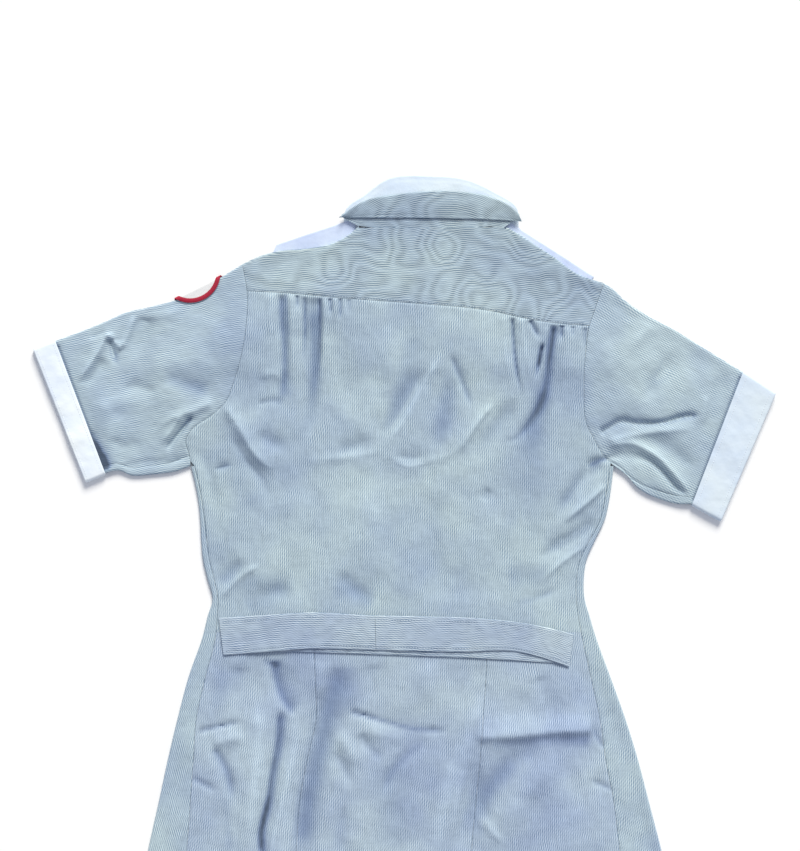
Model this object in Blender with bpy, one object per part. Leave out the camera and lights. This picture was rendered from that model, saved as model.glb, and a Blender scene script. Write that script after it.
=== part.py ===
"""Nurse uniform dress with turned cuffs, laid flat on its front, back upwards.

Lengths are millimetres in plan, +X to the right and +Y towards the neck, with the middle of the
back waist at (0, 0) and the table at height 0. The last step moves the dress so that the middle of
its box lies on the origin, and turns millimetres into metres. Left and right are the wearer's: seen
from behind, the wearer's left lies at -X.
"""

from collections import namedtuple
from math import pi

import bpy
import numpy as np

# Cloth
CLOTH = 1.2
SEAM_GAP = 0.3
FOLD_HEIGHT = 4.2
FOLD_RADIUS = FOLD_HEIGHT / 2
LOFT = 2.0
LOFT_REACH = 70.0
SHOULDER_RISE = 1.5

# Fastening
BUTTON_RADIUS = 5.7
BUTTON_THICKNESS = 1.8
BUTTON_PITCH = 96.0
BUTTON_COUNT = 10
FIRST_BUTTON_Y = 338.0
PLACKET_RISE = BUTTON_THICKNESS + SEAM_GAP
OVERLAP = 15.0

# Badge blank on the wearer's left sleeve
PATCH_RADIUS = 32.0
PATCH_SHOWS = 15.0
PATCH_THICKNESS = 0.9
PATCH_ENDS = ((-187.0, 378.0), (-241.0, 351.0))

FORWARD_SEAM = 13.0
BOX_MIDDLE = (5.0, -89.9)

# The body in level sections from underarm to hem: outline, side seams, and the dart or gore lines
Section = namedtuple("Section", "y left left_seam left_gore right_gore right_seam right")
SECTIONS = [
    Section(176, -222, -218, -91, 102, 223, 227),
    Section(160, -218, -214, -91, 102, 221, 225),
    Section(139, -214, -210, -91, 101, 217, 222),
    Section(118, -212, -207, -91, 100, 212, 217),
    Section(97, -211, -205, -91, 99, 201, 207),
    Section(76, -209, -202, -91, 98, 191, 198),
    Section(55, -204, -197, -91, 96, 187, 195),
    Section(34, -199, -193, -91, 94, 187, 196),
    Section(17, -204, -194, -91, 92, 189, 201),
    Section(0, -208, -195, -91, 92, 192, 206),
    Section(-50, -225, -207, -90, 91, 203, 224),
    Section(-92, -236, -216, -89, 88, 212, 239),
    Section(-134, -246, -219, -98, 85, 218, 252),
    Section(-176, -255, -222, -106, 81, 226, 263),
    Section(-230, -267, -226, -110, 76, 233, 277),
    Section(-330, -285, -236, -116, 79, 243, 300),
    Section(-440, -303, -249, -122, 84, 255, 320),
    Section(-550, -321, -261, -130, 90, 266, 340),
    Section(-660, -338, -273, -139, 97, 278, 359),
]
UNDERARM_Y = SECTIONS[0].y
HEM_Y = SECTIONS[-1].y

# Armhole seams in plan, from the shoulder point to the underarm
ARMHOLE_LEFT = [(-167, 390), (-162, 359), (-163, 325), (-169, 289), (-176, 266), (-185, 244),
                (-198, 231), (-222, 213), (-227, 204), (-223, 186), (-222, 176)]
ARMHOLE_RIGHT = [(216, 370), (207, 343), (200, 322), (197, 300), (195, 275), (195, 255),
                 (198, 220), (206, 204), (216, 187), (227, 176)]
YOKE_DROP_LEFT = 31.4
YOKE_DROP_RIGHT = 50.0

# Folded edges of the sleeves in plan, from the body to the cuff's inner edge
SLEEVE_TOP_LEFT = [(-167, 390), (-187, 378), (-241, 351), (-268, 344), (-290, 339), (-313, 329),
                   (-335, 320), (-362, 307)]
SLEEVE_BOTTOM_LEFT = [(-222, 176), (-239, 170), (-262, 167), (-286, 166), (-300, 171), (-310, 170)]
SLEEVE_TOP_RIGHT = [(216, 370), (228, 362), (236, 354), (263, 335), (290, 321), (316, 305), (360, 274)]
SLEEVE_BOTTOM_RIGHT = [(227, 176), (238, 166), (250, 153), (277, 140), (292, 136), (307, 135)]

# Cuffs: inner edge and outer edge, each from the top fold to the bottom fold
Cuff = namedtuple("Cuff", "inner_top inner_bottom outer_top outer_bottom")
CUFF_LEFT = Cuff((-363, 309), (-310, 166), (-386, 299), (-333, 159))
CUFF_RIGHT = Cuff((361, 276), (307, 132), (396, 254), (338, 117))

# Shoulders and neck in plan
SHOULDER_LEFT = [(-167, 390), (-150, 398), (-128, 404), (-104, 406), (-75, 411), (-58, 419), (-45, 430)]
SHOULDER_RIGHT = [(110, 431), (128, 421), (146, 409), (166, 396), (186, 381), (203, 374), (216, 370)]
BACK_NECK = [(-45, 430), (-14, 429), (32, 428), (78, 429), (110, 431)]
FRONT_NECK_LEFT = [(-40, 419), (-34, 395), (-16, 373), (9, 361), (39, 357)]
FRONT_NECK_RIGHT = [(105, 420), (97, 395), (79, 374), (54, 362), (9, 357)]
YOKE_SEAM = [(-162, 359), (-129, 357), (-63, 351), (21, 345), (89, 339), (144, 328), (174, 324), (200, 322)]
CENTRE_FRONT_Y = (-660, -230, 0, 176, 357)
CENTRE_FRONT_X = (10, 5, -2, 6, 24)

# Soft ridges (height over 0) and troughs (under 0), each from one end to the other, in plan
Fold = namedtuple("Fold", "x0 y0 x1 y1 width height bow fade_in fade_out")
GATHERS = [
    Fold(-125, 357, -119, 262, 4.5, -2.6, 0, 0.04, 0.6),
    Fold(-113, 356, -112, 326, 3.5, -1.6, 0, 0.08, 0.7),
    Fold(-101, 355, -99, 318, 3.5, -1.8, 0, 0.08, 0.7),
    Fold(-84, 353, -93, 232, 5.0, -2.6, 3, 0.04, 0.6),
    Fold(-72, 352, -75, 322, 3.5, -1.6, 0, 0.08, 0.7),
    Fold(-62, 351, -62, 315, 3.5, -1.4, 0, 0.08, 0.7),
    Fold(118, 333, 128, 256, 4.5, -2.4, -3, 0.04, 0.6),
    Fold(133, 330, 148, 292, 3.5, -1.6, 0, 0.08, 0.7),
    Fold(149, 310, 141, 262, 4.0, -1.8, 0, 0.1, 0.6),
    Fold(162, 324, 140, 222, 5.0, -3.0, -3, 0.04, 0.6),
    Fold(173, 324, 170, 292, 3.5, -1.4, 0, 0.08, 0.7),
]
BODY_FOLDS = [
    Fold(-172, 222, -120, 160, 10, 2.4, 6, 0.4, 0.5),
    Fold(-165, 190, -120, 130, 11, -2.0, 4, 0.4, 0.5),
    Fold(-128, 200, -112, 184, 12, -1.8, 0, 0.5, 0.5),
    Fold(8, 250, -60, 196, 13, -2.0, 0, 0.5, 0.5),
    Fold(104, 246, 52, 176, 12, 2.2, 0, 0.4, 0.5),
    Fold(50, 290, 14, 206, 12, -1.6, 0, 0.5, 0.5),
    Fold(206, 184, 150, 112, 9, -2.6, 4, 0.2, 0.5),
    Fold(205, 110, 130, 62, 12, -2.2, 4, 0.3, 0.5),
    Fold(200, 140, 158, 100, 11, 2.0, 0, 0.4, 0.5),
    Fold(-192, 60, -120, 40, 14, -1.6, 0, 0.4, 0.5),
    Fold(-128, -60, -142, -205, 7, -3.0, -7, 0.3, 0.3),
    Fold(-142, -190, -150, -560, 7, -3.2, 4, 0.25, 0.5),
    Fold(-112, -34, -108, -92, 9, -2.4, 0, 0.3, 0.5),
    Fold(-112, -120, -146, -240, 9, 2.6, -4, 0.4, 0.4),
    Fold(-84, -96, 46, -104, 4, -2.0, 8, 0.2, 0.3),
    Fold(92, -112, 205, -100, 5, -2.2, 8, 0.2, 0.3),
    Fold(120, -118, 78, -210, 12, -2.2, 0, 0.3, 0.5),
    Fold(62, -70, 52, -300, 13, -2.2, 0, 0.4, 0.5),
    Fold(-204, -98, -160, -96, 6, -1.8, 4, 0.3, 0.5),
    Fold(-60, -250, -84, -655, 15, 2.6, 0, 0.4, 0.1),
    Fold(-20, -330, -26, -655, 14, -2.4, 0, 0.4, 0.1),
    Fold(30, -280, 40, -655, 15, 2.4, 0, 0.4, 0.1),
    Fold(140, -250, 176, -655, 15, -2.6, 0, 0.4, 0.1),
    Fold(190, -300, 236, -655, 14, 2.4, 0, 0.4, 0.1),
    Fold(-190, -300, -214, -655, 14, -2.2, 0, 0.4, 0.1),
]
SLEEVE_FOLDS = [
    Fold(-196, 250, -276, 248, 13, -2.6, 5, 0.3, 0.5),
    Fold(-216, 226, -246, 186, 7, -2.2, 0, 0.3, 0.5),
    Fold(-308, 306, -288, 300, 8, 2.0, 0, 0.5, 0.5),
    Fold(-300, 290, -338, 246, 8, 2.2, 0, 0.4, 0.5),
    Fold(-286, 296, -300, 250, 11, -2.0, 0, 0.4, 0.5),
    Fold(212, 211, 318, 230, 8, -3.2, 5, 0.3, 0.4),
    Fold(214, 196, 300, 150, 7, -2.6, 14, 0.3, 0.3),
    Fold(232, 178, 292, 148, 7, 2.2, 8, 0.4, 0.4),
    Fold(290, 292, 252, 244, 12, -2.0, 0, 0.4, 0.5),
]
FOLDS = BODY_FOLDS + SLEEVE_FOLDS

# Half belt at the back waist: upper edge, lower edge, and the lower edge of the layer under it
BELT_TOP = [(-192, 15), (-145, 18), (-99, 21), (-28, 18), (19, 17), (105, 13), (147, 7), (184, -2)]
BELT_BOTTOM = [(-187, -25), (-142, -21), (-105, -18), (-28, -19), (63, -21), (126, -21), (147, -26),
               (179, -37)]
BELT_SPLIT = 0.44
BELT_LIFT = 0.6
UNDER_BELT_TOP = [(-140, 14), (-28, 14), (63, 11), (163, 0)]
UNDER_BELT_BOTTOM = [(-140, -25), (-28, -26), (63, -29), (163, -33)]

# Striped collar turned down at the back neck: fold line and free edge
COLLAR_FOLD = [(-62, 439), (-37, 454), (0, 459), (22, 462), (61, 462), (95, 454), (126, 439)]
COLLAR_EDGE = [(-65, 434), (-38, 436), (25, 434), (81, 433), (127, 431)]
COLLAR_ROLL = 1.5

# White collar: neck edge and outer edge from the left front point round the back to the right one
White = namedtuple("White", "inner_x inner_y outer_x outer_y inner_z outer_z")
WHITE_COLLAR = [
    White(20, 359, -6, 309, 0.0, 0.0),
    White(-4, 366, -40, 326, 0.0, 0.0),
    White(-26, 384, -66, 356, 0.0, 0.0),
    White(-37, 406, -80, 392, 0.0, 0.0),
    White(-42, 422, -84, 416, 0.0, 0.0),
    White(-43, 431, -72, 430, 0.0, 0.0),
    White(-40, 436, -58, 444, 1.0, 0.0),
    White(-30, 434, -34, 461, 2.6, 0.1),
    White(-6, 432, -14, 476, 2.9, 0.2),
    White(32, 431, 34, 479.4, 2.9, 0.2),
    White(70, 432, 68, 476, 2.9, 0.2),
    White(98, 434, 99, 458, 2.6, 0.1),
    White(106, 436, 122, 444, 1.0, 0.0),
    White(108, 431, 133, 432, 0.0, 0.0),
    White(107, 421, 147, 418, 0.0, 0.0),
    White(101, 405, 142, 392, 0.0, 0.0),
    White(88, 385, 128, 358, 0.0, 0.0),
    White(66, 368, 102, 328, 0.0, 0.0),
    White(28, 359, 64, 310, 0.0, 0.0),
]

# Shoulder straps: outer edge beyond the shoulder, inner edge hidden under it
STRAP_LEFT = ((-88, 423), (-133, 407), (-147, 376), (-95, 392))
STRAP_RIGHT = ((155, 414), (206, 375), (186, 350), (151, 386))


def smooth(t):
    """0 below 0, 1 above 1, and an even S between."""
    t = np.clip(t, 0.0, 1.0)
    return t * t * (3 - 2 * t)


def unit(vectors):
    return vectors / np.linalg.norm(vectors, axis=-1, keepdims=True)


def curve(points, where):
    """Points of a smooth curve through the given ones, at shares 0 to 1 of its chord length."""
    points = np.asarray(points, float)
    chords = np.linalg.norm(np.diff(points, axis=0), axis=1)
    knots = np.concatenate([[0], np.cumsum(chords)])
    slopes = np.gradient(points, knots, axis=0)
    t = np.asarray(where, float) * knots[-1]
    i = np.clip(np.searchsorted(knots, t, side="right") - 1, 0, len(knots) - 2)
    h = (knots[i + 1] - knots[i])[:, None]
    s = (t - knots[i])[:, None] / h
    return ((1 + 2 * s) * (1 - s) ** 2 * points[i] + s * (1 - s) ** 2 * h * slopes[i]
            + s * s * (3 - 2 * s) * points[i + 1] + s * s * (s - 1) * h * slopes[i + 1])


def run_length(points):
    """Length along a line of points, counted from its start."""
    chords = np.linalg.norm(np.diff(np.asarray(points, float), axis=0), axis=1)
    return np.concatenate([[0], np.cumsum(chords)])


def blended(top, bottom, left, right):
    """A four-sided plan patch from its edges: the two rulings added, less the bilinear corners."""
    u, v = run_length(top), run_length(left)
    u, v = (u / u[-1])[None, :, None], (v / v[-1])[:, None, None]
    across = (1 - u) * left[:, None] + u * right[:, None]
    down = (1 - v) * top[None] + v * bottom[None]
    corners = ((1 - v) * ((1 - u) * top[0] + u * top[-1]) + v * ((1 - u) * bottom[0] + u * bottom[-1]))
    return across + down - corners


def section_at(y, column):
    """A column of the section table at height y in plan."""
    rows = SECTIONS[::-1]
    return np.interp(y, [s.y for s in rows], [getattr(s, column) for s in rows])


def centre_front(y):
    return np.interp(y, CENTRE_FRONT_Y, CENTRE_FRONT_X)


def folded_edges():
    """The four folded edges: each shoulder with its sleeve top, and each underarm with its side."""
    down = SECTIONS
    return [
        SHOULDER_LEFT[::-1] + SLEEVE_TOP_LEFT[1:] + [CUFF_LEFT.outer_top],
        [CUFF_LEFT.outer_bottom] + SLEEVE_BOTTOM_LEFT[::-1] + [(s.left, s.y) for s in down[1:]],
        SHOULDER_RIGHT + SLEEVE_TOP_RIGHT[1:] + [CUFF_RIGHT.outer_top],
        [CUFF_RIGHT.outer_bottom] + SLEEVE_BOTTOM_RIGHT[::-1] + [(s.right, s.y) for s in down[1:]],
    ]


def edge_distance(plan):
    """How far each plan point lies from the nearest folded edge."""
    flat = plan.reshape(-1, 2)
    nearest = np.full(len(flat), 1e9)
    for edge in folded_edges():
        ends = np.asarray(edge, float)
        for a, b in zip(ends[:-1], ends[1:]):
            along = b - a
            share = np.clip((flat - a) @ along / (along @ along), 0, 1)
            nearest = np.minimum(nearest, np.linalg.norm(flat - a - share[:, None] * along, axis=1))
    return nearest.reshape(plan.shape[:-1])


def cuff_share(plan):
    """1 under a cuff, fading to 0 over the last 22 mm of sleeve before it and below the sleeves."""
    share = np.zeros(plan.shape[:-1])
    for cuff in (CUFF_LEFT, CUFF_RIGHT):
        top, bottom = np.asarray(cuff.inner_top, float), np.asarray(cuff.inner_bottom, float)
        along = unit(bottom - top)
        outward = np.array([along[1], -along[0]])
        if outward @ (np.asarray(cuff.outer_top) - top) < 0:
            outward = -outward
        share = np.maximum(share, smooth(((plan - top) @ outward + 24) / 22))
    return share * smooth((plan[..., 1] - 60) / 30)


def rise(plan):
    """How far the dress lies above the table over the straps, collar and badge, and inside the cuffs."""
    x, y = plan[..., 0], plan[..., 1]
    shoulders = smooth((y - 260) / 26) * smooth((x + 272) / 14) * smooth((262 - x) / 14)
    return SHOULDER_RISE * np.maximum(shoulders, cuff_share(plan))


def placket_share(plan):
    """1 over the buttoned overlap of the fronts, fading to 0 on each side."""
    return smooth((44 - np.abs(plan[..., 0] - centre_front(plan[..., 1]))) / 24)


def base(plan):
    """Height of the underside of the front layer."""
    return np.maximum(rise(plan), PLACKET_RISE * placket_share(plan))


def relief(plan, folds):
    """The sum of the folds: each a bell across and a soft fade along its length."""
    height = np.zeros(plan.shape[:-1])
    for f in folds:
        start = np.array([f.x0, f.y0], float)
        along = np.array([f.x1 - f.x0, f.y1 - f.y0], float)
        length = np.linalg.norm(along)
        along /= length
        share = (plan - start) @ along / length
        inside = np.clip(share, 0, 1)
        aside = (plan - start) @ np.array([-along[1], along[0]]) - f.bow * 4 * inside * (1 - inside)
        fade = smooth(share / f.fade_in) * smooth((1 - share) / f.fade_out)
        height += f.height * fade * np.exp(-((aside / f.width) ** 2))
    return height


def top_height(plan, gathered=False):
    """Height of the upper face of the back layer: folded edge, loft and folds, kept clear of the front."""
    inside = edge_distance(plan) - FOLD_RADIUS
    near_neck = smooth((plan[..., 1] - 330) / 80)
    loft = LOFT * smooth(inside / LOFT_REACH) * (1 - 0.75 * near_neck)
    flat_belt = 1 - 0.85 * smooth((46 - np.abs(plan[..., 1])) / 20)
    folds = relief(plan, FOLDS + (GATHERS if gathered else [])) * smooth(inside / 16) * flat_belt
    clear = 1 - cuff_share(plan)
    height = rise(plan) + FOLD_HEIGHT + (loft + folds) * clear
    overlap = placket_share(plan) * (CLOTH + 3 * SEAM_GAP)
    return np.maximum(height, base(plan) + 2 * (CLOTH + SEAM_GAP) + overlap)


def raised(plan, height, upwards=1.0):
    """Plan points set at a height, with the outward normals of that surface."""
    step = 0.5
    here = height(plan)
    slope_x = (height(plan + [step, 0]) - here) / step
    slope_y = (height(plan + [0, step]) - here) / step
    points = np.concatenate([plan, here[..., None]], axis=-1)
    normals = unit(np.stack([-slope_x, -slope_y, np.ones_like(here)], axis=-1)) * upwards
    return points, normals


def on_table(plan):
    return np.zeros(plan.shape[:-1])


def back_face(plan, gathered=False):
    def height(p):
        return top_height(p, gathered)
    return raised(plan, height)


def front_face(plan, over=0.0):
    """The front layer, its outer side down. over lifts it above the other front in the overlap."""
    def height(p):
        beside = p[..., 0] - centre_front(p[..., 1])
        wider = 44 * smooth((p[..., 1] - 300) / 20)
        return base(p) + over * smooth((beside + OVERLAP + 18 + wider) / 14)
    return raised(plan, height, upwards=-1.0)


def fold_round(inset, inward, radius, low, angles):
    """Half-round edge between the layers: angle 0 at the upper one, pi at the lower one."""
    angles = np.asarray(angles)[None, :, None]
    outward = -inward[:, None, :] * np.sin(angles)
    level = (low + radius)[:, None, None] + radius * np.cos(angles)
    plan = inset[:, None, :] + radius * outward
    points = np.concatenate([plan, level], axis=-1)
    normals = np.concatenate([outward, np.broadcast_to(np.cos(angles), level.shape)], axis=-1)
    return points, normals


def eased(points, sides, gap=SEAM_GAP / 2):
    """Draws the named sides of a grid of points in by half the seam gap."""
    points = points.copy()
    for side in sides:
        edge, next_in = {
            "top": (np.s_[0], np.s_[1]),
            "bottom": (np.s_[-1], np.s_[-2]),
            "left": (np.s_[:, 0], np.s_[:, 1]),
            "right": (np.s_[:, -1], np.s_[:, -2]),
        }[side]
        points[edge] += gap * unit(points[next_in] - points[edge])
    return points


MATERIALS = {
    "striped_cotton": ((0.41, 0.50, 0.59, 1), 0.85),
    "white_cotton": ((0.86, 0.90, 0.93, 1), 0.8),
    "button_white": ((0.85, 0.86, 0.86, 1), 0.35),
    "badge_twill": ((0.88, 0.88, 0.87, 1), 0.75),
}


def material(name):
    """A Principled material with the cloth's colour and roughness."""
    found = bpy.data.materials.get(name)
    if found:
        return found
    colour, roughness = MATERIALS[name]
    made = bpy.data.materials.new(name)
    made.use_nodes = True
    shader = made.node_tree.nodes["Principled BSDF"]
    shader.inputs["Base Color"].default_value = colour
    shader.inputs["Roughness"].default_value = roughness
    return made


def cloth(name, points, normals, keep=None, thickness=CLOTH, finish="striped_cotton"):
    """A closed wall from a grid of outer points: the kept cells, the same moved in, and their rims."""
    rows, columns = points.shape[:2]
    keep = np.ones((rows - 1, columns - 1), bool) if keep is None else keep
    outer = points.reshape(-1, 3)
    inner = (points - thickness * normals).reshape(-1, 3)
    cells = [(i * columns + j, i * columns + j + 1, (i + 1) * columns + j + 1, (i + 1) * columns + j)
             for i, j in zip(*np.nonzero(keep))]
    corners = outer[np.array(cells)]
    facing = np.cross(corners[:, 2] - corners[:, 0], corners[:, 3] - corners[:, 1])
    if (facing * normals.reshape(-1, 3)[np.array(cells)[:, 0]]).sum() < 0:
        cells = [cell[::-1] for cell in cells]
    used = sorted({corner for cell in cells for corner in cell})
    index = {corner: k for k, corner in enumerate(used)}
    count = len(used)
    faces = [tuple(index[c] for c in cell) for cell in cells]
    edges = {(face[k], face[(k + 1) % 4]) for face in faces for k in range(4)}
    rims = [(b, a, a + count, b + count) for a, b in edges if (b, a) not in edges]
    inside = [tuple(c + count for c in face[::-1]) for face in faces]
    mesh = bpy.data.meshes.new(name)
    mesh.from_pydata(np.concatenate([outer[used], inner[used]]).tolist(), [], faces + inside + sorted(rims))
    mesh.materials.append(material(finish))
    mesh.shade_smooth()
    mesh.set_sharp_from_angle(angle=0.9)
    made = bpy.data.objects.new(name, mesh)
    bpy.context.scene.collection.objects.link(made)
    return made


def armhole_stations(points, yoke_drop):
    """Armhole points shared by yoke, back, front and sleeve: 4 on the yoke and 9 more to the underarm."""
    length = run_length(points)[-1]
    lower = np.linspace(yoke_drop, length - FOLD_RADIUS, 10)
    distances = np.concatenate([[FOLD_RADIUS, FORWARD_SEAM, (FORWARD_SEAM + yoke_drop) / 2], lower])
    return curve(points, distances / length)


YOKE_STATIONS = 4
STATIONS_LEFT = armhole_stations(ARMHOLE_LEFT, YOKE_DROP_LEFT)
STATIONS_RIGHT = armhole_stations(ARMHOLE_RIGHT, YOKE_DROP_RIGHT)
BODICE_ROWS = [s.y for s in SECTIONS if s.y >= 0]
SKIRT_ROWS = [s.y for s in SECTIONS if s.y <= 0]
ARC = np.linspace(0, pi, 6)[1:-1]


def inset_edge(points, distance):
    """A plan line moved aside by a distance, to its left as it runs."""
    points = np.asarray(points, float)
    along = unit(np.gradient(points, axis=0))
    return points + distance * np.stack([-along[:, 1], along[:, 0]], axis=1)


def yoke():
    """Back yoke from the yoke seam to the neck, rolled over each shoulder to the seam on the front."""
    shares = np.linspace(0, 1, 8)
    left = inset_edge(curve(SHOULDER_LEFT, shares), -FOLD_RADIUS)
    right = inset_edge(curve(SHOULDER_RIGHT, shares), -FOLD_RADIUS)
    left[0], right[-1] = STATIONS_LEFT[0], STATIONS_RIGHT[0]
    neck = curve([left[-1], *BACK_NECK[1:-1], right[0]], np.linspace(0, 1, 9))
    top = np.concatenate([left, neck[1:-1], right])
    seam = curve(YOKE_SEAM, np.linspace(0, 1, len(top)))
    seam[0], seam[-1] = STATIONS_LEFT[3], STATIONS_RIGHT[3]
    plan = blended(top, seam, STATIONS_LEFT[:YOKE_STATIONS], STATIONS_RIGHT[:YOKE_STATIONS])
    flat, flat_normals = back_face(plan)
    inward = unit(plan[1] - plan[0])
    arc, arc_normals = fold_round(plan[0], inward, FOLD_RADIUS, rise(plan[0]), ARC[::-1])
    reach = np.linalg.norm(plan[1] - plan[0], axis=1)[:, None] + FOLD_RADIUS
    forward = plan[0] + inward * np.minimum(FORWARD_SEAM - FOLD_RADIUS, reach)
    forward[0], forward[-1] = STATIONS_LEFT[1], STATIONS_RIGHT[1]
    under, under_normals = front_face(np.stack([forward, plan[0]]))
    points = np.concatenate([under, arc.transpose(1, 0, 2), flat])
    normals = np.concatenate([under_normals, arc_normals.transpose(1, 0, 2), flat_normals])
    keep = np.ones((len(points) - 1, len(top) - 1), bool)
    wrapped_rows = len(ARC) + 2
    keep[:wrapped_rows, 7:7 + 8] = False
    points = eased(eased(points, ("left", "right", "top")), ("bottom",), SEAM_GAP)
    cloth("yoke_back", points, normals, keep)
    return forward


def back_bodice():
    """Back below the yoke, gathered into it on each side, to the waist."""
    def side(stations, column):
        lower = [(section_at(y, column), y) for y in BODICE_ROWS]
        return np.concatenate([stations[3:-1], lower])
    left, right = side(STATIONS_LEFT, "left_seam"), side(STATIONS_RIGHT, "right_seam")
    shares = np.concatenate([np.linspace(0, 0.08, 3), np.linspace(0.095, 0.30, 14),
                             np.linspace(0.36, 0.70, 6), np.linspace(0.745, 0.955, 13), [1.0]])
    seam = curve(YOKE_SEAM, shares)
    seam[0], seam[-1] = STATIONS_LEFT[3], STATIONS_RIGHT[3]
    waist = left[-1] + shares[:, None] * (right[-1] - left[-1])
    points, normals = back_face(blended(seam, waist, left, right), gathered=True)
    points = eased(eased(points, ("left", "right", "bottom")), ("top",), SEAM_GAP)
    cloth("bodice_back", points, normals)


def section_grid(rows, from_column, to_column, count):
    """Plan points on level rows between two columns of the section table."""
    rows = np.asarray(rows, float)
    first, last = section_at(rows, from_column), section_at(rows, to_column)
    share = np.linspace(0, 1, count)
    x = first[:, None] + share * (last - first)[:, None]
    return np.stack([x, np.broadcast_to(rows[:, None], x.shape)], axis=-1)


def back_skirt():
    """Three gores of the back skirt, from the waist to the hem."""
    for name, first, last, count in (
        ("skirt_back_left", "left_seam", "left_gore", 9),
        ("skirt_back_centre", "left_gore", "right_gore", 13),
        ("skirt_back_right", "right_gore", "right_seam", 9),
    ):
        points, normals = back_face(section_grid(SKIRT_ROWS, first, last, count))
        cloth(name, eased(points, ("left", "right", "top")), normals)


def side_wrap(rows, side):
    """Columns of a front panel round the side fold: the strip on the back, then the half-round edge."""
    inward = np.array([1.0, 0.0]) if side == "left" else np.array([-1.0, 0.0])
    rows = np.asarray(rows, float)
    seam = np.stack([section_at(rows, side + "_seam"), rows], axis=1)
    inset = np.stack([section_at(rows, side), rows], axis=1) + inward * FOLD_RADIUS
    strip = np.stack([seam, (seam + inset) / 2, inset], axis=1)
    on_back, back_normals = back_face(strip)
    inwards = np.broadcast_to(inward, inset.shape)
    arc, arc_normals = fold_round(inset, inwards, FOLD_RADIUS, rise(inset), ARC)
    points = np.concatenate([on_back, arc], axis=1)
    normals = np.concatenate([back_normals, arc_normals], axis=1)
    return points, normals, inset


def across_front(outer, edge):
    """Plan rows from the side to the front edge, with columns at set distances from that edge."""
    near = np.array([60.0, 47.0, 33.0, 15.0, 0.0])
    width = np.linalg.norm(edge - outer, axis=1)[:, None]
    even = np.linspace(0, 1, 5)[None, :-1]
    share = np.concatenate([even * (1 - near[0] / width), 1 - near / width], axis=1)
    return outer[:, None] + share[..., None] * (edge - outer)[:, None]


def front_bodice(side, stations, neckline, shoulder, over):
    """Front from the forward shoulder seam to the waist, rolled round the side to the side seam."""
    sign = 1 if side == "left" else -1
    wrap, wrap_normals, inset = side_wrap(BODICE_ROWS, side)
    outer = np.concatenate([stations[1:-1], inset])
    neck_rows = 7
    neck = curve([shoulder[-1], *neckline[1:]], np.linspace(0, 1, neck_rows))
    rows_left = len(outer) - neck_rows
    below = np.linspace(neck[-1, 1], 0, rows_left + 1)[1:]
    edge = np.concatenate([neck, np.stack([centre_front(below) + sign * OVERLAP, below], axis=1)])
    plan = across_front(outer, edge)
    reach = np.linalg.norm(plan[0] - plan[0, 0], axis=1) / np.linalg.norm(plan[0, -1] - plan[0, 0])
    fade = np.clip(1 - np.arange(len(plan)) / neck_rows, 0, 1)[:, None, None]
    flat, flat_normals = front_face(plan + fade * (curve(shoulder, reach) - plan[0]), over)
    columns = wrap.shape[1]
    upper_rows = len(outer) - len(inset)
    padding = np.repeat(flat[:upper_rows, :1], columns, axis=1)
    points = np.concatenate([np.concatenate([padding, wrap]), flat], axis=1)
    normals = np.concatenate([np.concatenate([np.repeat(flat_normals[:upper_rows, :1], columns, axis=1),
                                              wrap_normals]), flat_normals], axis=1)
    keep = np.ones((len(points) - 1, points.shape[1] - 1), bool)
    keep[:upper_rows, :columns] = False
    gap = SEAM_GAP / 2
    points[:upper_rows, columns:] = eased(points[:upper_rows, columns:], ("left",))
    points[upper_rows:] = eased(points[upper_rows:], ("left",))
    points[upper_rows, :columns, 1] -= gap
    points = eased(eased(points, ("bottom",)), ("top",), 2 * SEAM_GAP)
    cloth(f"bodice_front_{side}", points, normals, keep)


def front_skirt(side, over):
    """Front skirt from the waist to the hem, rolled round the side to the side seam."""
    sign = 1 if side == "left" else -1
    wrap, wrap_normals, inset = side_wrap(SKIRT_ROWS, side)
    rows = np.asarray(SKIRT_ROWS, float)
    edge = np.stack([centre_front(rows) + sign * OVERLAP, rows], axis=1)
    flat, flat_normals = front_face(across_front(inset, edge), over)
    points = np.concatenate([wrap, flat], axis=1)
    normals = np.concatenate([wrap_normals, flat_normals], axis=1)
    cloth(f"skirt_front_{side}", eased(points, ("left", "top")), normals)


def flat_tube(name, plan, height, low, radius, seam_column, finish="striped_cotton"):
    """A flattened tube: upper face, rounded edge, lower face and rounded edge, parted at its seam."""
    upper, upper_normals = raised(plan, height)
    lower, lower_normals = raised(plan, low, upwards=-1.0)
    last_in = unit(plan[:, -2] - plan[:, -1])
    first_in = unit(plan[:, 1] - plan[:, 0])
    far, far_normals = fold_round(plan[:, -1], last_in, radius, low(plan[:, -1]), ARC)
    near, near_normals = fold_round(plan[:, 0], first_in, radius, low(plan[:, 0]), ARC[::-1])

    def in_order(a, b, c, d):
        return np.concatenate([a[:, seam_column:], b, c[:, ::-1], d, a[:, :seam_column + 1]], axis=1)

    points = in_order(upper, far, lower, near)
    normals = in_order(upper_normals, far_normals, lower_normals, near_normals)
    cloth(name, eased(points, ("left", "right", "top")), normals, finish=finish)


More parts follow.
